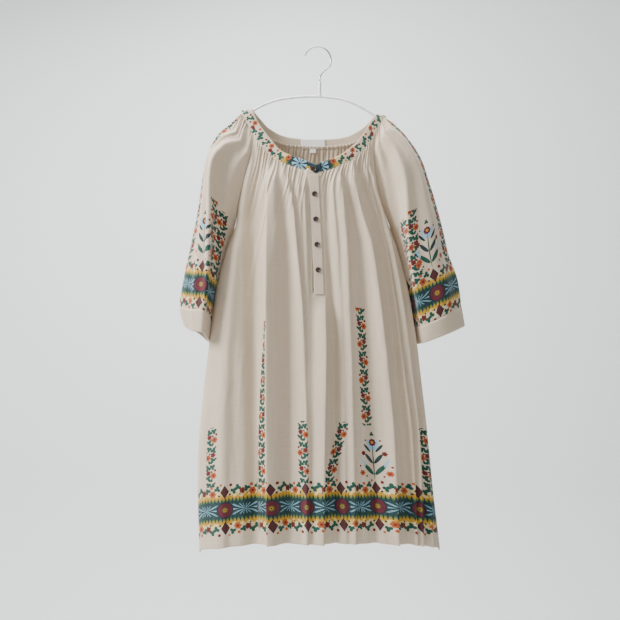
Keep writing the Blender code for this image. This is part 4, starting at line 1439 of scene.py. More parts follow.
@dataclass(frozen=True)
class Cotton:
    """Light plain-weave cotton, washed and undyed: matte, soft, with slubs and small creases.

    Attributes:
        colour: the cloth's colour.
        slub_colour: the colour of its thicker threads.
        thread_mm: distance between threads. The real one is about 0.4 mm, drawn coarser so that it shows.
    """

    colour: str = "#D0BEA7"
    slub_colour: str = "#BDA98F"
    thread_mm: float = 0.9

    def material(
        self, name: str, print_design: "FolkBorder | BandPrint | None" = None
    ) -> bpy.types.Material:
        """Makes the cloth's material.

        Args:
            name: the material's name.
            print_design: what is printed on it, if anything.

        Returns:
            The material.
        """
        made, shader = new_material(name, Roughness=0.88, Sheen_Weight=0.18, Sheen_Roughness=0.6)
        tree = made.node_tree
        shader.inputs["Specular IOR Level"].default_value = 0.25
        uv = add_node(tree, "ShaderNodeUVMap", uv_map="print").outputs[0]
        place = add_node(tree, "ShaderNodeTexCoord").outputs["Object"]
        tint = self.slubs(tree, uv)
        if print_design:
            tint = print_design.paint(tree, uv, tint)
        tree.links.new(tint, shader.inputs["Base Color"])
        tree.links.new(self.relief(tree, uv, place), shader.inputs["Normal"])
        return made

    def slubs(self, tree: bpy.types.NodeTree, uv: bpy.types.NodeSocket) -> bpy.types.NodeSocket:
        """The undyed cloth's colour, uneven along both sets of threads."""
        masks = []
        for scale in ((700.0, 18.0, 1.0), (18.0, 700.0, 1.0)):
            stretched = add_node(tree, "ShaderNodeVectorMath", {0: uv, 1: scale}, operation="MULTIPLY")
            inputs = {"Vector": stretched.outputs[0], "Scale": 1.0, "Detail": 2.0}
            masks.append(add_node(tree, "ShaderNodeTexNoise", inputs).outputs[0])
        both = add_node(tree, "ShaderNodeMath", {0: masks[0], 1: masks[1]}, operation="MULTIPLY").outputs[0]
        share = add_node(
            tree, "ShaderNodeMapRange", {"Value": both, "From Min": 0.2, "From Max": 0.42, "To Max": 0.55}
        ).outputs[0]
        inputs = {"Factor": share, COLOUR_UNDER: linear(self.colour), COLOUR_OVER: linear(self.slub_colour)}
        return add_node(tree, "ShaderNodeMix", inputs, data_type="RGBA").outputs[MIXED_COLOUR]

    def relief(
        self, tree: bpy.types.NodeTree, uv: bpy.types.NodeSocket, place: bpy.types.NodeSocket
    ) -> bpy.types.NodeSocket:
        """Bump of the weave and of the creases too small to model."""
        pitch = self.thread_mm * MM
        weave = []
        for way in ((1.0 / pitch, 0.0, 0.0), (0.0, 1.0 / pitch, 0.0)):
            turns = add_node(tree, "ShaderNodeVectorMath", {0: uv, 1: way}, operation="DOT_PRODUCT")
            weave.append((Amount(tree, turns.outputs["Value"]) * math.tau).worked("SINE"))
        threads = (weave[0] * weave[1]).socket
        stretched = add_node(
            tree, "ShaderNodeVectorMath", {0: place, 1: (1.0, 1.0, 0.32)}, operation="MULTIPLY"
        ).outputs[0]
        creases = add_node(
            tree, "ShaderNodeTexNoise", {"Vector": stretched, "Scale": 85.0, "Detail": 3.0, "Roughness": 0.55}
        ).outputs[0]
        first = add_node(
            tree, "ShaderNodeBump", {"Height": creases, "Strength": 0.32, "Distance": 0.0016}
        ).outputs[0]
        return add_node(
            tree, "ShaderNodeBump", {"Height": threads, "Normal": first, "Strength": 0.22, "Distance": 0.0002}
        ).outputs[0]


@dataclass(frozen=True)
class SpunThread:
    """Spun cotton sewing thread: dull, with a fine twist.

    Attributes:
        colour: the thread's colour.
    """

    colour: str = "#DCCDBB"

    def material(self, name: str) -> bpy.types.Material:
        """Makes the thread's material."""
        made, shader = new_material(name, Roughness=0.8, Base_Color=linear(self.colour))
        tree = made.node_tree
        place = add_node(tree, "ShaderNodeTexCoord").outputs["Object"]
        twist = add_node(
            tree, "ShaderNodeTexWave", {"Vector": place, "Scale": 900.0, "Distortion": 2.0}
        ).outputs[0]
        bump = add_node(
            tree, "ShaderNodeBump", {"Height": twist, "Strength": 0.3, "Distance": 0.0001}
        ).outputs[0]
        tree.links.new(bump, shader.inputs["Normal"])
        return made


@dataclass(frozen=True)
class ButtonResin:
    """Cast polyester resin, dyed dark brown and tumbled to a dull gloss, faintly mottled like horn.

    Attributes:
        colour: the main colour.
        cloud_colour: the lighter clouds in it.
    """

    colour: str = "#2B1D1A"
    cloud_colour: str = "#4A342B"

    def material(self, name: str) -> bpy.types.Material:
        """Makes the buttons' material."""
        made, shader = new_material(name, IOR=1.54)
        tree = made.node_tree
        place = add_node(tree, "ShaderNodeTexCoord").outputs["Object"]
        clouds = add_node(
            tree, "ShaderNodeTexNoise", {"Vector": place, "Scale": 380.0, "Detail": 3.0}
        ).outputs[0]
        ramp = add_node(tree, "ShaderNodeValToRGB", {"Fac": clouds})
        fill_ramp(ramp, ((0.42, linear(self.colour)), (0.72, linear(self.cloud_colour))))
        tree.links.new(ramp.outputs[0], shader.inputs["Base Color"])
        worn = add_node(
            tree, "ShaderNodeMapRange", {"Value": clouds, "To Min": 0.26, "To Max": 0.42}
        ).outputs[0]
        tree.links.new(worn, shader.inputs["Roughness"])
        return made


@dataclass(frozen=True)
class WovenTape:
    """Woven polyester satin tape: white, smooth, with fine ribs across it.

    Attributes:
        colour: the tape's colour.
        rib_mm: distance between its ribs, drawn coarser than the real 0.2 mm so that it shows.
    """

    colour: str = "#F4F3EF"
    rib_mm: float = 0.6

    def material(self, name: str) -> bpy.types.Material:
        """Makes the tape's material."""
        made, shader = new_material(name, Roughness=0.55, Sheen_Weight=0.1, Base_Color=linear(self.colour))
        tree = made.node_tree
        uv = add_node(tree, "ShaderNodeUVMap", uv_map="print").outputs[0]
        way = (0.0, math.tau / (self.rib_mm * MM), 0.0)
        turns = add_node(
            tree, "ShaderNodeVectorMath", {0: uv, 1: way}, operation="DOT_PRODUCT"
        ).outputs["Value"]
        ribs = add_node(tree, "ShaderNodeMath", {0: turns}, operation="SINE").outputs[0]
        bump = add_node(
            tree, "ShaderNodeBump", {"Height": ribs, "Strength": 0.25, "Distance": 0.0001}
        ).outputs[0]
        tree.links.new(bump, shader.inputs["Normal"])
        return made


@dataclass(frozen=True)
class DippedWire:
    """Steel wire dipped in white PVC: a smooth, slightly wavy skin with a soft gloss.

    Attributes:
        colour: the coating's colour.
        worn_colour: its colour where it is handled and a little grubby.
    """

    colour: str = "#FBFBFA"
    worn_colour: str = "#DEDDD8"

    def material(self, name: str) -> bpy.types.Material:
        """Makes the coating's material."""
        made, shader = new_material(name, IOR=1.5, Coat_Weight=0.15, Coat_Roughness=0.2)
        tree = made.node_tree
        place = add_node(tree, "ShaderNodeTexCoord").outputs["Object"]
        patches = add_node(
            tree, "ShaderNodeTexNoise", {"Vector": place, "Scale": 60.0, "Detail": 4.0}
        ).outputs[0]
        ramp = add_node(tree, "ShaderNodeValToRGB", {"Fac": patches})
        fill_ramp(ramp, ((0.45, linear(self.colour)), (0.8, linear(self.worn_colour))))
        tree.links.new(ramp.outputs[0], shader.inputs["Base Color"])
        gloss = add_node(
            tree, "ShaderNodeMapRange", {"Value": patches, "To Min": 0.28, "To Max": 0.45}
        ).outputs[0]
        tree.links.new(gloss, shader.inputs["Roughness"])
        bump = add_node(
            tree, "ShaderNodeBump", {"Height": patches, "Strength": 0.15, "Distance": 0.0006}
        ).outputs[0]
        tree.links.new(bump, shader.inputs["Normal"])
        return made


@dataclass(frozen=True)
class PlatedWire:
    """Drawn steel wire with bright nickel plating: fine drawing marks along it.

    Attributes:
        colour: the plating's colour.
    """

    colour: str = "#BFBEBC"

    def material(self, name: str) -> bpy.types.Material:
        """Makes the plating's material."""
        made, shader = new_material(name, Metallic=1.0, Base_Color=linear(self.colour))
        tree = made.node_tree
        place = add_node(tree, "ShaderNodeTexCoord").outputs["Object"]
        marks = add_node(
            tree, "ShaderNodeTexNoise", {"Vector": place, "Scale": 500.0, "Detail": 5.0}
        ).outputs[0]
        rough = add_node(
            tree, "ShaderNodeMapRange", {"Value": marks, "To Min": 0.16, "To Max": 0.34}
        ).outputs[0]
        tree.links.new(rough, shader.inputs["Roughness"])
        bump = add_node(
            tree, "ShaderNodeBump", {"Height": marks, "Strength": 0.1, "Distance": 0.0001}
        ).outputs[0]
        tree.links.new(bump, shader.inputs["Normal"])
        return made


@dataclass(frozen=True)
class PrintColours:
    """Pigments of the print, as they show on the undyed cloth."""

    dark_teal: str = "#0F2E32"
    green_teal: str = "#114638"
    light_blue: str = "#8FB6CB"
    olive: str = "#67752B"
    mustard: str = "#B98B20"
    cream_yellow: str = "#D9C380"
    burgundy: str = "#5E1526"
    maroon: str = "#48181A"
    plum: str = "#2C1829"
    orange: str = "#A5501F"
    brick: str = "#6A1D16"


PIGMENT = PrintColours()
# Colours of the rays from their middle outwards
RAY_COLOURS = (PIGMENT.dark_teal, PIGMENT.dark_teal, PIGMENT.green_teal, PIGMENT.olive, PIGMENT.mustard)


@dataclass(frozen=True)
class Flower:
    """A kind of small printed flower, or a clover where its petals are cut deep.

    Attributes:
        petals: how many petals it has.
        colour: their colour.
        heart: the colour of its middle, if that shows.
        cut: how deep the gaps between the petals are, as a share of the radius.
    """

    petals: int
    colour: str
    heart: str
    cut: float


CLOVER = Flower(3, PIGMENT.green_teal, "", 0.55)
ORANGE_FLOWER = Flower(6, PIGMENT.orange, PIGMENT.brick, 0.22)
BRICK_FLOWER = Flower(5, PIGMENT.brick, PIGMENT.maroon, 0.25)
SPRIG_FLOWER = Flower(8, PIGMENT.burgundy, PIGMENT.mustard, 0.18)
MUSTARD_FLOWER = Flower(6, PIGMENT.mustard, PIGMENT.orange, 0.22)
ROSETTE_SCALLOPS = Flower(16, PIGMENT.plum, "", 0.12)


class Amount:
    """A number at every point of the cloth, held as a socket, so that a pattern is written as arithmetic."""

    def __init__(self, tree: bpy.types.NodeTree, socket: bpy.types.NodeSocket) -> None:
        """Keeps the tree and the socket that gives the number."""
        self.tree, self.socket = tree, socket

    def worked(self, operation: str, *others: "Amount | float") -> "Amount":
        """The number after an operation of the Math node, with any other numbers that it takes."""
        inputs = {0: self.socket}
        for place, other in enumerate(others, start=1):
            inputs[place] = other.socket if isinstance(other, Amount) else float(other)
        node = add_node(self.tree, "ShaderNodeMath", inputs, operation=operation)
        return Amount(self.tree, node.outputs[0])

    def __add__(self, other: "Amount | float") -> "Amount":
        """The sum."""
        return self.worked("ADD", other)

    def __sub__(self, other: "Amount | float") -> "Amount":
        """The difference."""
        return self.worked("SUBTRACT", other)

    def __mul__(self, other: "Amount | float") -> "Amount":
        """The product."""
        return self.worked("MULTIPLY", other)

    def __lt__(self, other: "Amount | float") -> "Amount":
        """1 where this number is the smaller one, otherwise 0."""
        return self.worked("LESS_THAN", other)

    def __gt__(self, other: "Amount | float") -> "Amount":
        """1 where this number is the larger one, otherwise 0."""
        return self.worked("GREATER_THAN", other)

    def __abs__(self) -> "Amount":
        """The number without its sign."""
        return self.worked("ABSOLUTE")

    def wrapped(self, low: float, high: float) -> "Amount":
        """The number repeated between two limits."""
        return self.worked("WRAP", high, low)


class Spot:
    """A place on the cloth in millimetres, as a vector socket, from which motifs are drawn."""

    def __init__(self, tree: bpy.types.NodeTree, socket: bpy.types.NodeSocket) -> None:
        """Keeps the tree and the socket that gives the place."""
        self.tree, self.socket = tree, socket

    @classmethod
    def of(cls, x: Amount, y: Amount) -> "Spot":
        """The place with these two numbers as its coordinates."""
        return cls(x.tree, add_node(x.tree, "ShaderNodeCombineXYZ", {0: x.socket, 1: y.socket}).outputs[0])

    def seen_from(self, x: float, y: float, size: tuple[float, float], degrees: float = 0.0) -> "Spot":
        """The place as seen from a motif's middle, in units of the motif's size and turned with it."""
        inputs = {
            "Vector": self.socket, "Location": (x, y, 0.0), "Scale": (*size, 1.0),
            "Rotation": (0.0, 0.0, math.radians(degrees)),
        }
        node = add_node(self.tree, "ShaderNodeMapping", inputs, vector_type="TEXTURE")
        return Spot(self.tree, node.outputs[0])

    def reach(self) -> Amount:
        """Distance from the motif's middle."""
        length = add_node(self.tree, "ShaderNodeVectorMath", {0: self.socket}, operation="LENGTH")
        return Amount(self.tree, length.outputs["Value"])

    def parts(self) -> tuple[Amount, Amount]:
        """Both coordinates."""
        node = add_node(self.tree, "ShaderNodeSeparateXYZ", {0: self.socket})
        return Amount(self.tree, node.outputs[0]), Amount(self.tree, node.outputs[1])


class PrintedCloth:
    """The cloth while it is printed: each motif goes over what is there already."""

    def __init__(self, tree: bpy.types.NodeTree, cloth: bpy.types.NodeSocket) -> None:
        """Starts with the bare cloth's colour."""
        self.tree, self.colour = tree, cloth

    def lay(self, mask: Amount, colour: "str | bpy.types.NodeSocket") -> None:
        """Prints a colour where the mask is 1."""
        over = linear(colour) if isinstance(colour, str) else colour
        inputs = {"Factor": mask.socket, COLOUR_UNDER: self.colour, COLOUR_OVER: over}
        self.colour = add_node(self.tree, "ShaderNodeMix", inputs, data_type="RGBA").outputs[MIXED_COLOUR]

    def banded(self, outwards: Amount, places: tuple[float, ...]) -> bpy.types.NodeSocket:
        """The rays' colours, which run into one another, each at its place from 0 to 1."""
        ramp = add_node(self.tree, "ShaderNodeValToRGB", {"Fac": outwards.socket})
        fill_ramp(ramp, zip(places, (linear(colour) for colour in RAY_COLOURS)))
        return ramp.outputs[0]

    def leaf(
        self, at: Spot, x: float, y: float, size: tuple[float, float], colour: str, degrees: float = 0.0
    ) -> None:
        """Prints an oval: a leaf, or a berry where both sizes are the same."""
        self.lay(at.seen_from(x, y, size, degrees).reach() < 1.0, colour)

    def blossom(
        self, at: Spot, x: float, y: float, radius: float, kind: Flower, degrees: float = 0.0
    ) -> None:
        """Prints a flower.

        Args:
            at: the place on the cloth.
            x: the flower's middle.
            y: the same, upwards.
            radius: its radius.
            kind: which flower it is.
            degrees: how far it is turned.
        """
        spot = at.seen_from(x, y, (radius, radius), degrees)
        across, up = spot.parts()
        wave = abs((up.worked("ARCTAN2", across) * (kind.petals / 2)).worked("COSINE"))
        reach = spot.reach()
        self.lay(reach < wave * kind.cut + (1.0 - kind.cut), kind.colour)
        if kind.heart:
            self.lay(reach < 0.36, kind.heart)

    def lozenge(self, at: Spot, x: float, y: float, size: tuple[float, float]) -> None:
        """Prints an upright lozenge in two colours."""
        across, up = at.seen_from(x, y, size).parts()
        edge = abs(across) + abs(up)
        self.lay(edge < 1.0, PIGMENT.plum)
        self.lay(edge < 0.8, PIGMENT.maroon)


@dataclass(frozen=True)
class Vine:
    """A column of small flowers and clovers that rises from the border over one repeat.

    Attributes:
        offset: its place across the repeat.
        low: where it starts above the print's lower edge.
        high: where it ends.
        lean: how far it moves sideways for its height.
        sprig: whether a flowering sprig stands on the border there.
    """

    offset: float
    low: float
    high: float
    lean: float = 0.0
    sprig: bool = False


@dataclass(frozen=True)
class FolkBorder:
    """The print of the hem and the sleeves: a border of rosettes and rays, with vines over it.

    It is a border of ordinary folk motifs in the print's colours and sizes, in a layout of its own.

    Attributes:
        repeat: distance between rosettes.
        middle: height of the rosettes over the print's lower edge.
        vine_foot: height at which the vines start to lean.
        vine_step: height after which a vine repeats, mirrored.
        sprig_foot: height at which the sprigs stand.
        widest: the range that a vine's offset is stored in.
        tallest: the range that a vine's heights are stored in.
        vines: the vine over each repeat in turn.
    """

    repeat: float = 80.0
    middle: float = 51.0
    vine_foot: float = 100.0
    vine_step: float = 37.0
    sprig_foot: float = 104.0
    widest: float = 100.0
    tallest: float = 600.0
    vines: tuple[Vine, ...] = (
        Vine(-30, 100, 224),
        Vine(6, 100, 196),
        Vine(-31, 100, 432),
        Vine(-2, 100, 226),
        Vine(-27, 100, 224, lean=0.36),
        Vine(-8, 216, 458, sprig=True),
        Vine(28, 100, 224),
        Vine(-31, 100, 236, sprig=True),
        Vine(-27, 100, 560),
    )

    def paint(
        self, tree: bpy.types.NodeTree, uv: bpy.types.NodeSocket, tint: bpy.types.NodeSocket
    ) -> bpy.types.NodeSocket:
        """Prints the border and its vines.

        Args:
            tree: the material's node tree.
            uv: the cloth's own places, in metres.
            tint: the bare cloth's colour.

        Returns:
            The printed cloth's colour.
        """
        u, v = Spot(tree, uv).seen_from(0.0, 0.0, (MM, MM)).parts()
        cloth = PrintedCloth(tree, tint)
        half = self.repeat / 2
        across = u.wrapped(-half, half)
        rise = v - self.middle
        away = abs(rise)
        number = (u * (1 / self.repeat) + 0.5).worked("FLOOR")
        self.splashes(cloth, uv, away)
        self.rays(cloth, across, rise, away)
        self.rosette(cloth, Spot.of(across, rise).seen_from(0, 0, (0.84, 0.84)))
        self.flower_row(cloth, Spot.of(across * rise.worked("SIGN"), away))
        self.climb(cloth, u, v, number)
        return cloth.colour

    def splashes(self, cloth: PrintedCloth, uv: bpy.types.NodeSocket, away: Amount) -> None:
        """Prints the pale yellow sprays that the flowers stand on."""
        spots = add_node(
            cloth.tree, "ShaderNodeTexNoise", {"Vector": uv, "Scale": 150.0, "Detail": 3.0}
        ).outputs[0]
        near = away.worked("SUBTRACT", 30.0) * (1 / 26.0)
        spray = Amount(cloth.tree, spots) - near * 0.5
        cloth.lay((spray > 0.40) * (away < 54.0), PIGMENT.cream_yellow)
        cloth.lay((spray > 0.56) * (away < 46.0), PIGMENT.mustard)

    def rays(self, cloth: PrintedCloth, across: Amount, rise: Amount, away: Amount) -> None:
        """Prints the rays between the rosettes, pale blue in the middle and mustard at both edges."""
        beside = abs(across).worked("MULTIPLY", -1.0) + self.repeat / 2
        spot = Spot.of(beside, rise)
        angle = away.worked("ARCTAN2", beside)
        curl = spot.reach() * 0.07
        strokes = (angle * 14.0 - curl + 0.6).worked("SINE")
        colours = cloth.banded(away * (1 / 32.0), (0.0, 0.36, 0.5, 0.62, 0.74))
        cloth.lay(away < strokes * 2.6 + 27.0, colours)
        spikes = (across * 0.86 + 0.4).worked("SINE")
        cloth.lay((spikes > away * 0.125 - 2.15) * (away > 10.0) * (away < 25.5), PIGMENT.dark_teal)
        cloth.lay((strokes > away * 0.06 - 0.5) * (away < 17.0), PIGMENT.dark_teal)
        cloth.lay((strokes + away * 0.07 < -0.05) * (away < 11.0), PIGMENT.light_blue)
        veins = (angle * 28.0 - curl * 2.0).worked("SINE")
        cloth.lay((veins > 0.8) * (away < 15.0), PIGMENT.green_teal)

    def rosette(self, cloth: PrintedCloth, at: Spot) -> None:
        """Prints the scalloped rosette with its dotted rings."""
        cloth.blossom(at, 0, 0, 21.0, ROSETTE_SCALLOPS)
        spot = at.seen_from(0, 0, (1.0, 1.0))
        across, up = spot.parts()
        angle, reach = up.worked("ARCTAN2", across), spot.reach()
        wave = abs((angle * 8.0).worked("COSINE"))
        cloth.lay(reach < wave * 1.6 + 15.4, PIGMENT.burgundy)
        ring = abs(reach - 11.6)
        cloth.lay((ring < wave * 1.5) * (wave > 0.6), PIGMENT.maroon)
        cloth.lay(reach < 7.4, PIGMENT.maroon)
        dots = abs((angle * 6.0).worked("COSINE"))
        cloth.lay((abs(reach - 5.4) < 1.15) * (dots > 0.5), PIGMENT.olive)
        cloth.lay(abs(reach - 3.0) < 0.9, PIGMENT.mustard)
        cloth.lay(reach < 1.5, PIGMENT.dark_teal)

    def flower_row(self, cloth: PrintedCloth, at: Spot) -> None:
        """Prints the row of lozenges, flowers and clovers that runs above and below the rays."""
        cloth.lozenge(at, 0, 37, (9.5, 14.0))
        for x, y, turn in ((-36, 41, 10), (-15, 44, 80), (19, 38, 40), (27, 44, 100)):
            cloth.blossom(at, x, y, 6.9, CLOVER, turn)
        cloth.blossom(at, -25, 34, 7.6, ORANGE_FLOWER)
        cloth.blossom(at, 36, 37, 6.6, BRICK_FLOWER)
        for x, y, radius, colour in (
            (-27, 47, 3.3, PIGMENT.orange), (13, 50, 3.2, PIGMENT.brick), (-8, 52, 2.6, PIGMENT.orange),
            (11, 31, 2.2, PIGMENT.plum), (-12, 30, 2.2, PIGMENT.plum), (31, 30, 1.8, PIGMENT.plum),
        ):
            cloth.leaf(at, x, y, (radius, radius), colour)

    def climb(self, cloth: PrintedCloth, u: Amount, v: Amount, number: Amount) -> None:
        """Prints the vines and the sprigs over the border.

        Args:
            cloth: the cloth.
            u: places along the border.
            v: heights over the print's lower edge.
            number: which repeat a place is in.
        """
        tree = cloth.tree
        count = len(self.vines)
        turn = number.worked("FLOORED_MODULO", count) + 0.5
        fac = (turn * (1 / count)).socket
        facts = []
        for values in (
            [
                (vine.offset / self.widest + 0.5, vine.low / self.tallest, vine.high / self.tallest)
                for vine in self.vines
            ],
            [(vine.lean, float(vine.sprig), 0.0) for vine in self.vines],
        ):
            ramp = add_node(tree, "ShaderNodeValToRGB", {"Fac": fac})
            ramp.color_ramp.interpolation = "CONSTANT"
            fill_ramp(ramp, ((place / count, (*value, 1.0)) for place, value in enumerate(values)))
            facts += list(add_node(tree, "ShaderNodeSeparateColor", {0: ramp.outputs[0]}).outputs[:3])
        offset, low, high, lean, sprig = (Amount(tree, socket) for socket in facts[:5])
        across = u - number * self.repeat
        beside = across - (offset - 0.5) * self.widest - (v - self.vine_foot) * lean
        inside = (v > low * self.tallest) * (v < high * self.tallest)
        outside = (inside * -1.0 + 1.0) * OUT_OF_REACH
        cell = (v * (1 / self.vine_step)).worked("FLOOR")
        mirrored = (cell.worked("FLOORED_MODULO", 2.0) * -2.0) + 1.0
        at = Spot.of(beside * mirrored + outside, v.wrapped(0.0, self.vine_step))
        for x, y, radius, turn_by in (
            (-4.5, 31, 6.4, 20), (5.5, 28, 6.9, 70), (4.5, 8, 6.4, 130), (-1.5, 2.0, 5.4, 10),
        ):
            cloth.blossom(at, x, y, radius, CLOVER, turn_by)
        cloth.blossom(at, 4.8, 18.5, 5.8, BRICK_FLOWER)
        cloth.blossom(at, -6.5, 13.0, 7.0, ORANGE_FLOWER)
        for x, y, radius, colour in (
            (-10, 24, 2.6, PIGMENT.brick), (11, 11, 2.0, PIGMENT.plum),
            (-2.5, 21, 2.0, PIGMENT.plum), (10, 35, 1.8, PIGMENT.plum),
        ):
            cloth.leaf(at, x, y, (radius, radius), colour)
        self.sprig(cloth, Spot.of(abs(across) + (sprig * -1.0 + 1.0) * OUT_OF_REACH, v - self.sprig_foot))

    def sprig(self, cloth: PrintedCloth, at: Spot) -> None:
        """Prints an upright flowering sprig, the same on both sides of its stem."""
        cloth.leaf(at, 0, 36, (1.2, 36), PIGMENT.green_teal)
        for x, y, size, turn, colour in (
            (12, 22, (4.2, 15), -42, PIGMENT.green_teal), (10, 44, (3.6, 13), -38, PIGMENT.dark_teal),
            (24, 38, (2.4, 10), -25, PIGMENT.light_blue), (7, 72, (4.6, 12), -24, PIGMENT.light_blue),
            (13, 66, (2.6, 11), -40, PIGMENT.dark_teal),
        ):
            cloth.leaf(at, x, y, size, colour, turn)
        cloth.blossom(at, 27, 16, 6.0, ORANGE_FLOWER)
        cloth.blossom(at, 22, 56, 5.0, BRICK_FLOWER)
        cloth.blossom(at, 0, 77, 8.0, SPRIG_FLOWER)
        cloth.blossom(at, 0, 94, 5.0, CLOVER, 90)
        for x, y in ((18, 9), (31, 30), (16, 82)):
            cloth.leaf(at, x, y, (2.0, 2.0), PIGMENT.brick)


@dataclass(frozen=True)
class BandPrint:
    """The neckband's print: rays by the front opening, then small flowers and clovers round the neck.

    Attributes:
        rays_end: how far from the opening the rays reach.
        repeat: length of the flowers' repeat.
    """

    rays_end: float = 48.0
    repeat: float = 66.0

    def paint(
        self, tree: bpy.types.NodeTree, uv: bpy.types.NodeSocket, tint: bpy.types.NodeSocket
    ) -> bpy.types.NodeSocket:
        """Prints the band's outer face.

        Args:
            tree: the material's node tree.
            uv: the cloth's own places, in metres.
            tint: the bare cloth's colour.

        Returns:
            The printed cloth's colour.
        """
        u, v = Spot(tree, uv).seen_from(0.0, 0.0, (MM, MM)).parts()
        cloth = PrintedCloth(tree, tint)
        outer = v > -50.0
        spots = add_node(tree, "ShaderNodeTexNoise", {"Vector": uv, "Scale": 170.0, "Detail": 3.0}).outputs[0]
        spray = Amount(tree, spots) - (u - self.rays_end) * 0.006
        cloth.lay((spray > 0.42) * outer, PIGMENT.cream_yellow)
        self.rays(cloth, u, v, outer)
        inner = (outer * -1.0 + 1.0) * OUT_OF_REACH
        start = (u < self.rays_end + 2.0) * OUT_OF_REACH
        at = Spot.of((u - self.rays_end).wrapped(0.0, self.repeat) + inner + start, v)
        for x, y, radius, turn in (
            (8, 8, 6.8, 20), (15, 14, 6.4, 80), (28, 6, 6.4, 140), (55, 15, 5.4, 30), (59, 7, 4.8, 0),
        ):
            cloth.blossom(at, x, y, radius, CLOVER, turn)
        cloth.blossom(at, 37, 7, 5.0, BRICK_FLOWER)
        cloth.blossom(at, 43, 15.5, 6.0, ORANGE_FLOWER)
        for x, y, radius, colour in (
            (25, 17.5, 3.0, PIGMENT.orange), (50, 8, 2.0, PIGMENT.plum),
            (20, 5, 1.8, PIGMENT.plum), (63, 15, 2.4, PIGMENT.brick),
        ):
            cloth.leaf(at, x, y, (radius, radius), colour)
        at = Spot.of(u + inner, v)
        cloth.blossom(at, 41, 15, 7.0, ORANGE_FLOWER)
        cloth.blossom(at, -9, 6.5, 6.0, MUSTARD_FLOWER)
        return cloth.colour

    def rays(self, cloth: PrintedCloth, u: Amount, v: Amount, outer: Amount) -> None:
        """Prints the rays that fan out on both sides of the opening."""
        beside, rise = u - 12.0, v - 11.0
        spot = Spot.of(beside, rise)
        angle, reach = rise.worked("ARCTAN2", beside), spot.reach()
        strokes = (angle * 9.0 + reach * 0.08).worked("SINE")
        far = beside.worked("MAXIMUM", beside * -0.42)
        within = (u < strokes * 4.0 + self.rays_end) * outer
        cloth.lay(within, cloth.banded(far * (1 / 38.0), (0.0, 0.5, 0.62, 0.72, 0.8)))
        cloth.lay(within * (strokes > far * 0.05 - 0.6) * (u < 42.0), PIGMENT.dark_teal)
        cloth.lay(within * (strokes < 0.1) * (reach < 17.0) * (reach > 2.5), PIGMENT.light_blue)


@dataclass
class Studio:
    """A pale wall and floor, soft light and the camera, level with the middle of the dress.

    Attributes:
        camera_distance: how far the camera stands in front of the dress.
        aim: x and z of what the camera looks at.
        wall_colour: the wall's colour.
        floor_drop: how far the floor lies under the origin.
        wall_back: how far the wall stands behind it.
        floor_half: half the floor's side, in metres.
        wall_height: the wall's height, in metres.
    """

    camera_distance: float = 1810.0
    aim: tuple[float, float] = (-15.75, -552.0)
    wall_colour: str = "#EEF1F0"
    floor_drop: float = 2300.0
    wall_back: float = 2600.0
    floor_half: float = 6.0
    wall_height: float = 7.0

    def place_camera(self) -> None:
        """Puts the camera where the photograph was taken from."""
        lens = bpy.data.cameras.new("camera")
        lens.lens = 50.0
        lens.sensor_width = 36.0
        camera = bpy.data.objects.new("camera", lens)
        camera.location = (self.aim[0] * MM, -self.camera_distance * MM, self.aim[1] * MM)
        camera.rotation_euler = (math.radians(90), 0.0, 0.0)
        bpy.context.scene.collection.objects.link(camera)
        bpy.context.scene.camera = camera

    def add_light(self, name: str, place: tuple[float, float, float], size: float, power: float) -> None:
        """Adds a soft square light that looks at the dress's middle.

        Args:
            name: the light's name.
            place: where it stands, in metres.
            size: its side, in metres.
            power: its power in watts.
        """
        lamp = bpy.data.lights.new(name, "AREA")
        lamp.shape = "SQUARE"
        lamp.size = size
        lamp.energy = power
        light = bpy.data.objects.new(name, lamp)
        light.location = place
        target = Vector((0.0, 0.0, -0.5))
        light.rotation_euler = (target - Vector(place)).to_track_quat("-Z", "Y").to_euler()
        bpy.context.scene.collection.objects.link(light)

    def build(self) -> None:
        """Builds the stage, the lights and the camera."""
        paint, _ = new_material("matte wall paint", Base_Color=linear(self.wall_colour), Roughness=0.95)
        bm = bmesh.new()
        floor = -self.floor_drop * MM
        back = self.wall_back * MM
        middle = Matrix.Translation((0, back - self.floor_half, floor))
        bmesh.ops.create_grid(bm, x_segments=1, y_segments=1, size=self.floor_half, matrix=middle)
        edge = [e for e in bm.edges if all(v.co.y > back - 0.01 for v in e.verts)]
        risen = bmesh.ops.extrude_edge_only(bm, edges=edge)["geom"]
        top = [part for part in risen if isinstance(part, bmesh.types.BMVert)]
        bmesh.ops.translate(bm, vec=(0, 0, self.wall_height), verts=top)
        at_foot = {v for v in bm.verts if abs(v.co.y - back) < 0.01 and abs(v.co.z - floor) < 0.01}
        bend = [e for e in bm.edges if at_foot.issuperset(e.verts)]
        bmesh.ops.bevel(bm, geom=bend, offset=0.9, segments=16, profile=0.5, affect="EDGES", material=-1)
        bmesh.ops.recalc_face_normals(bm, faces=bm.faces)
        new_object("backdrop", bm, paint)
        self.add_light("key_light", (-2.5, -0.9, 1.2), 1.1, 195.0)
        self.add_light("fill_light", (0.6, -2.6, 0.6), 2.4, 18.0)
        self.add_light("wall_light", (-0.4, 0.5, 1.7), 2.2, 205.0)
        world = bpy.data.worlds.new("soft_room_light")
        world.use_nodes = True
        world.node_tree.nodes["Background"].inputs["Color"].default_value = linear("#EEF0F2")
        world.node_tree.nodes["Background"].inputs["Strength"].default_value = 0.3
        bpy.context.scene.world = world
        self.place_camera()


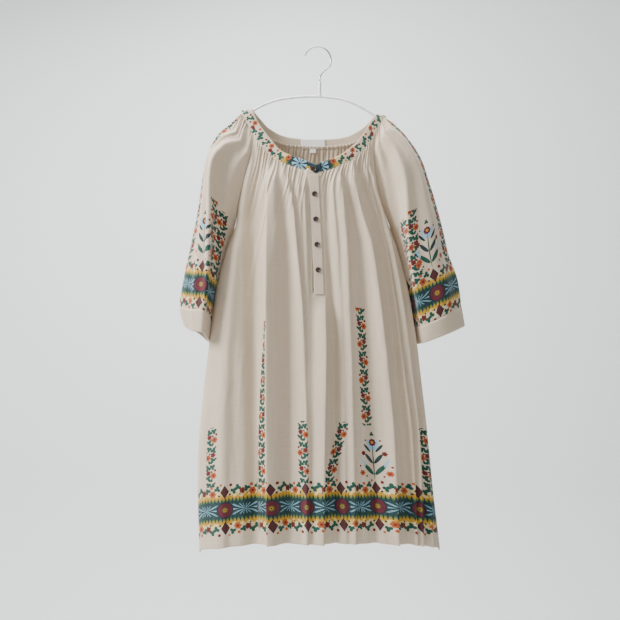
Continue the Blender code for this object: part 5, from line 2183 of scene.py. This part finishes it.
FRONT_FOLDS = (
    Fold((-97, -97, -97, -97, -97, -97, -95), (7, 12, 15, 16, 16, 15, 13), 17, -0.97),
    Fold((-122, -127, -130, -131, -131, -130, -128), (-6, -11, -14, -15, -15, -14, -12), 17),
    Fold((-146, -160, -172, -182, -190, -196, -200), (5, 8, 9, 9, 9, 9, 9), 20, 0.3),
    Fold((-73, -56, -47, -36, -30, -26, -22), (6, 9, 9, 8, 7, 5, 4), 10, 0.75),
    Fold((-62, -68, -66, -63, -62, -62, -62), (-1, -3, -7, -10, -12, -12, -10), 15),
    Fold((-87, -84, -80, -78, -78, -80, -82), (3, 4, 3, 2, 2, 2, 2), 7, 0.5),
    Fold((-42, -38, -35, -32, -30, -30, -30), (3, 2, 1, 0, 0, 0, 0), 5, 0.4),
    Fold((-27, -25, -23, -21, -20, -22, -25), (3, 3, 3, 3, 3, 4, 4), 6),
    Fold((8, 9, 11, 10, 9, 7, 6), (0, 0, 0, 9, 15, 14, 11), 15, 0.95),
    Fold((16, 18, 21, 28, 33, 35, 36), (-7, -7, -6, -8, -12, -11, -9), 9),
    Fold((39, 50, 58, 62, 66, 70, 76), (6, 8, 8, 7, 7, 7, 6), 9, 0.6),
    Fold((28, 32, 40, 46, 50, 54, 58), (4, 3, 2, 1, 1, 2, 2), 5, 0.4),
    Fold((54, 66, 82, 92, 102, 112, 120), (-4, -5, -8, -10, -11, -11, -10), 13),
    Fold((69, 80, 106, 122, 135, 150, 162), (7, 10, 12, 12, 12, 12, 11), 12, 0.85),
    Fold((86, 110, 130, 146, 158, 174, 188), (-5, -7, -9, -9, -9, -8, -7), 11),
    Fold((94, 116, 138, 156, 170, 190, 202), (4, 6, 8, 8, 8, 8, 8), 6, 0.85),
    Fold((104, 127, 150, 171, 187, 206, 214), (6, 9, 10, 10, 9, 8, 8), 7, 0.85),
    Fold((150, 160, 180, 190, 205, 222, 236), (0, 0, 4, 6, 8, 9, 9), 6, 0.8),
)
BACK_FOLDS = (
    Fold((-95, -103, -112, -120, -128, -138, -150), (3, 5, 6, 7, 7, 7, 7), 15, -0.6),
    Fold((-70, -77, -84, -91, -98, -105, -112), (-3, -4, -5, -6, -6, -6, -6), 14),
    Fold((-45, -48, -50, -53, -56, -60, -66), (3, 5, 6, 7, 7, 7, 6), 13, -0.5),
    Fold((-20, -21, -22, -22, -22, -23, -24), (-3, -4, -5, -6, -6, -6, -6), 14),
    Fold((5, 5, 6, 7, 8, 10, 12), (3, 5, 6, 7, 7, 7, 7), 13, 0.6),
    Fold((30, 33, 36, 39, 42, 46, 52), (-3, -4, -5, -6, -6, -6, -6), 14),
    Fold((55, 61, 68, 74, 80, 87, 96), (3, 5, 6, 7, 7, 7, 7), 14, 0.5),
    Fold((78, 88, 98, 106, 114, 124, 136), (-3, -4, -5, -6, -6, -5, -5), 14),
    Fold((98, 112, 126, 137, 148, 162, 180), (2, 4, 5, 6, 6, 6, 6), 15, 0.6),
    Fold((-150, -160, -172, -182, -190, -198, -206), (0, 2, 4, 4, 5, 5, 5), 9, -0.5),
    Fold((120, 140, 160, 176, 190, 205, 220), (0, 2, 3, 4, 5, 5, 5), 8, 0.5),
)
LEFT_CREASES = (
    SleeveFold((1.0, 1.0, 1.0), (1.0, 4.5, 3.0), 0.14),
    SleeveFold((1.3, 1.4, 1.5), (-2.5, -4.0, -3.0), 0.24),
    SleeveFold((0.3, 0.35, 0.4), (4.0, 3.0, 1.0), 0.16),
    SleeveFold((0.62, 0.6, 0.7), (-3.0, -5.0, -3.5), 0.2),
    SleeveFold((1.75, 1.8, 1.8), (2.5, 3.0, 2.5), 0.2),
    SleeveFold((2.2, 2.2, 2.1), (-2.5, -2.8, -2.0), 0.24),
    SleeveFold((3.6, 3.8, 3.9), (2.0, 4.0, 3.5), 0.3),
    SleeveFold((4.3, 4.4, 4.4), (1.5, -3.0, -3.0), 0.25),
)
RIGHT_CREASES = (
    SleeveFold((0.35, 0.2, 0.2), (4.5, 2.0, 1.0), 0.14),
    SleeveFold((0.6, 0.5, 0.55), (-4.0, -4.0, -3.0), 0.2),
    SleeveFold((1.05, 1.0, 1.0), (4.0, 5.0, 3.0), 0.16),
    SleeveFold((1.45, 1.5, 1.55), (-3.5, -4.0, -2.5), 0.26),
    SleeveFold((1.95, 2.1, 2.2), (3.0, 3.5, 3.0), 0.24),
    SleeveFold((2.45, 2.5, 2.6), (-2.0, -2.2, -2.0), 0.2),
    SleeveFold((3.6, 3.7, 3.9), (2.0, 4.0, 3.5), 0.3),
    SleeveFold((4.3, 4.3, 4.4), (1.5, -3.0, -3.0), 0.25),
)


def main() -> None:
    """Builds each part of the dress and its hanger in turn, then the studio."""
    logging.basicConfig(level=logging.INFO, format="%(message)s")
    printed = Cotton().material("ecru_cotton_printed", FolkBorder())
    plain = Cotton().material("ecru_cotton_plain")
    band_cloth = Cotton().material("ecru_cotton_band_print", BandPrint())
    spun = SpunThread().material("spun_cotton_thread")
    resin = ButtonResin().material("cast_resin_buttons")
    dark_thread = SpunThread("#3A2A24").material("brown_button_thread")
    tape = WovenTape().material("white_woven_tape")
    coated = DippedWire().material("white_dipped_wire")
    plated = PlatedWire().material("nickel_plated_wire")
    thread = SewingThread()

    front_gathers = Gathers(40, 300, 11, height=5.2, reach=120.0, calm=0.035)
    back_gathers = Gathers(32, 240, 23, height=4.6, reach=110.0)
    front = BodyPanel(Panel.FRONT, FRONT_FOLDS, front_gathers, 284, (60, 96))
    back = BodyPanel(Panel.BACK, BACK_FOLDS, back_gathers, 200, (44, 66))
    for body, flat_size, area in ((front, (0.66, 0.89), 0.50), (back, (0.62, 0.90), 0.48)):
        piece = body.build(printed, thread)
        LOG.info("%s: %d faces", piece.name, len(piece.data.polygons))
    sleeves = (
        Sleeve(Side.LEFT, SLEEVE_LEFT, LEFT_CREASES, Gathers(14, 120, 5, height=4.4, reach=100.0)),
        Sleeve(Side.RIGHT, SLEEVE_RIGHT, RIGHT_CREASES, Gathers(14, 120, 8, height=4.4, reach=100.0)),
    )
    for sleeve in sleeves:
        body, cuff = sleeve.build(printed, plain, thread)
        LOG.info("%s: %d faces", body.name, len(body.data.polygons))
    band = Neckband().build(band_cloth, thread)
    placket = Placket()
    for strip, wide in zip(placket.build(plain, thread), (0.022, 0.018)):
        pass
    Buttons().build(resin, dark_thread)
    label, size_tab = NeckTabs().build(tape, thread)
    Hanger().build(coated, plated)
    stitches = thread.build("stitching", spun)
    LOG.info("%s: %d faces", stitches.name, len(stitches.data.polygons))
    Studio().build()


if __name__ == "__main__":
    main()
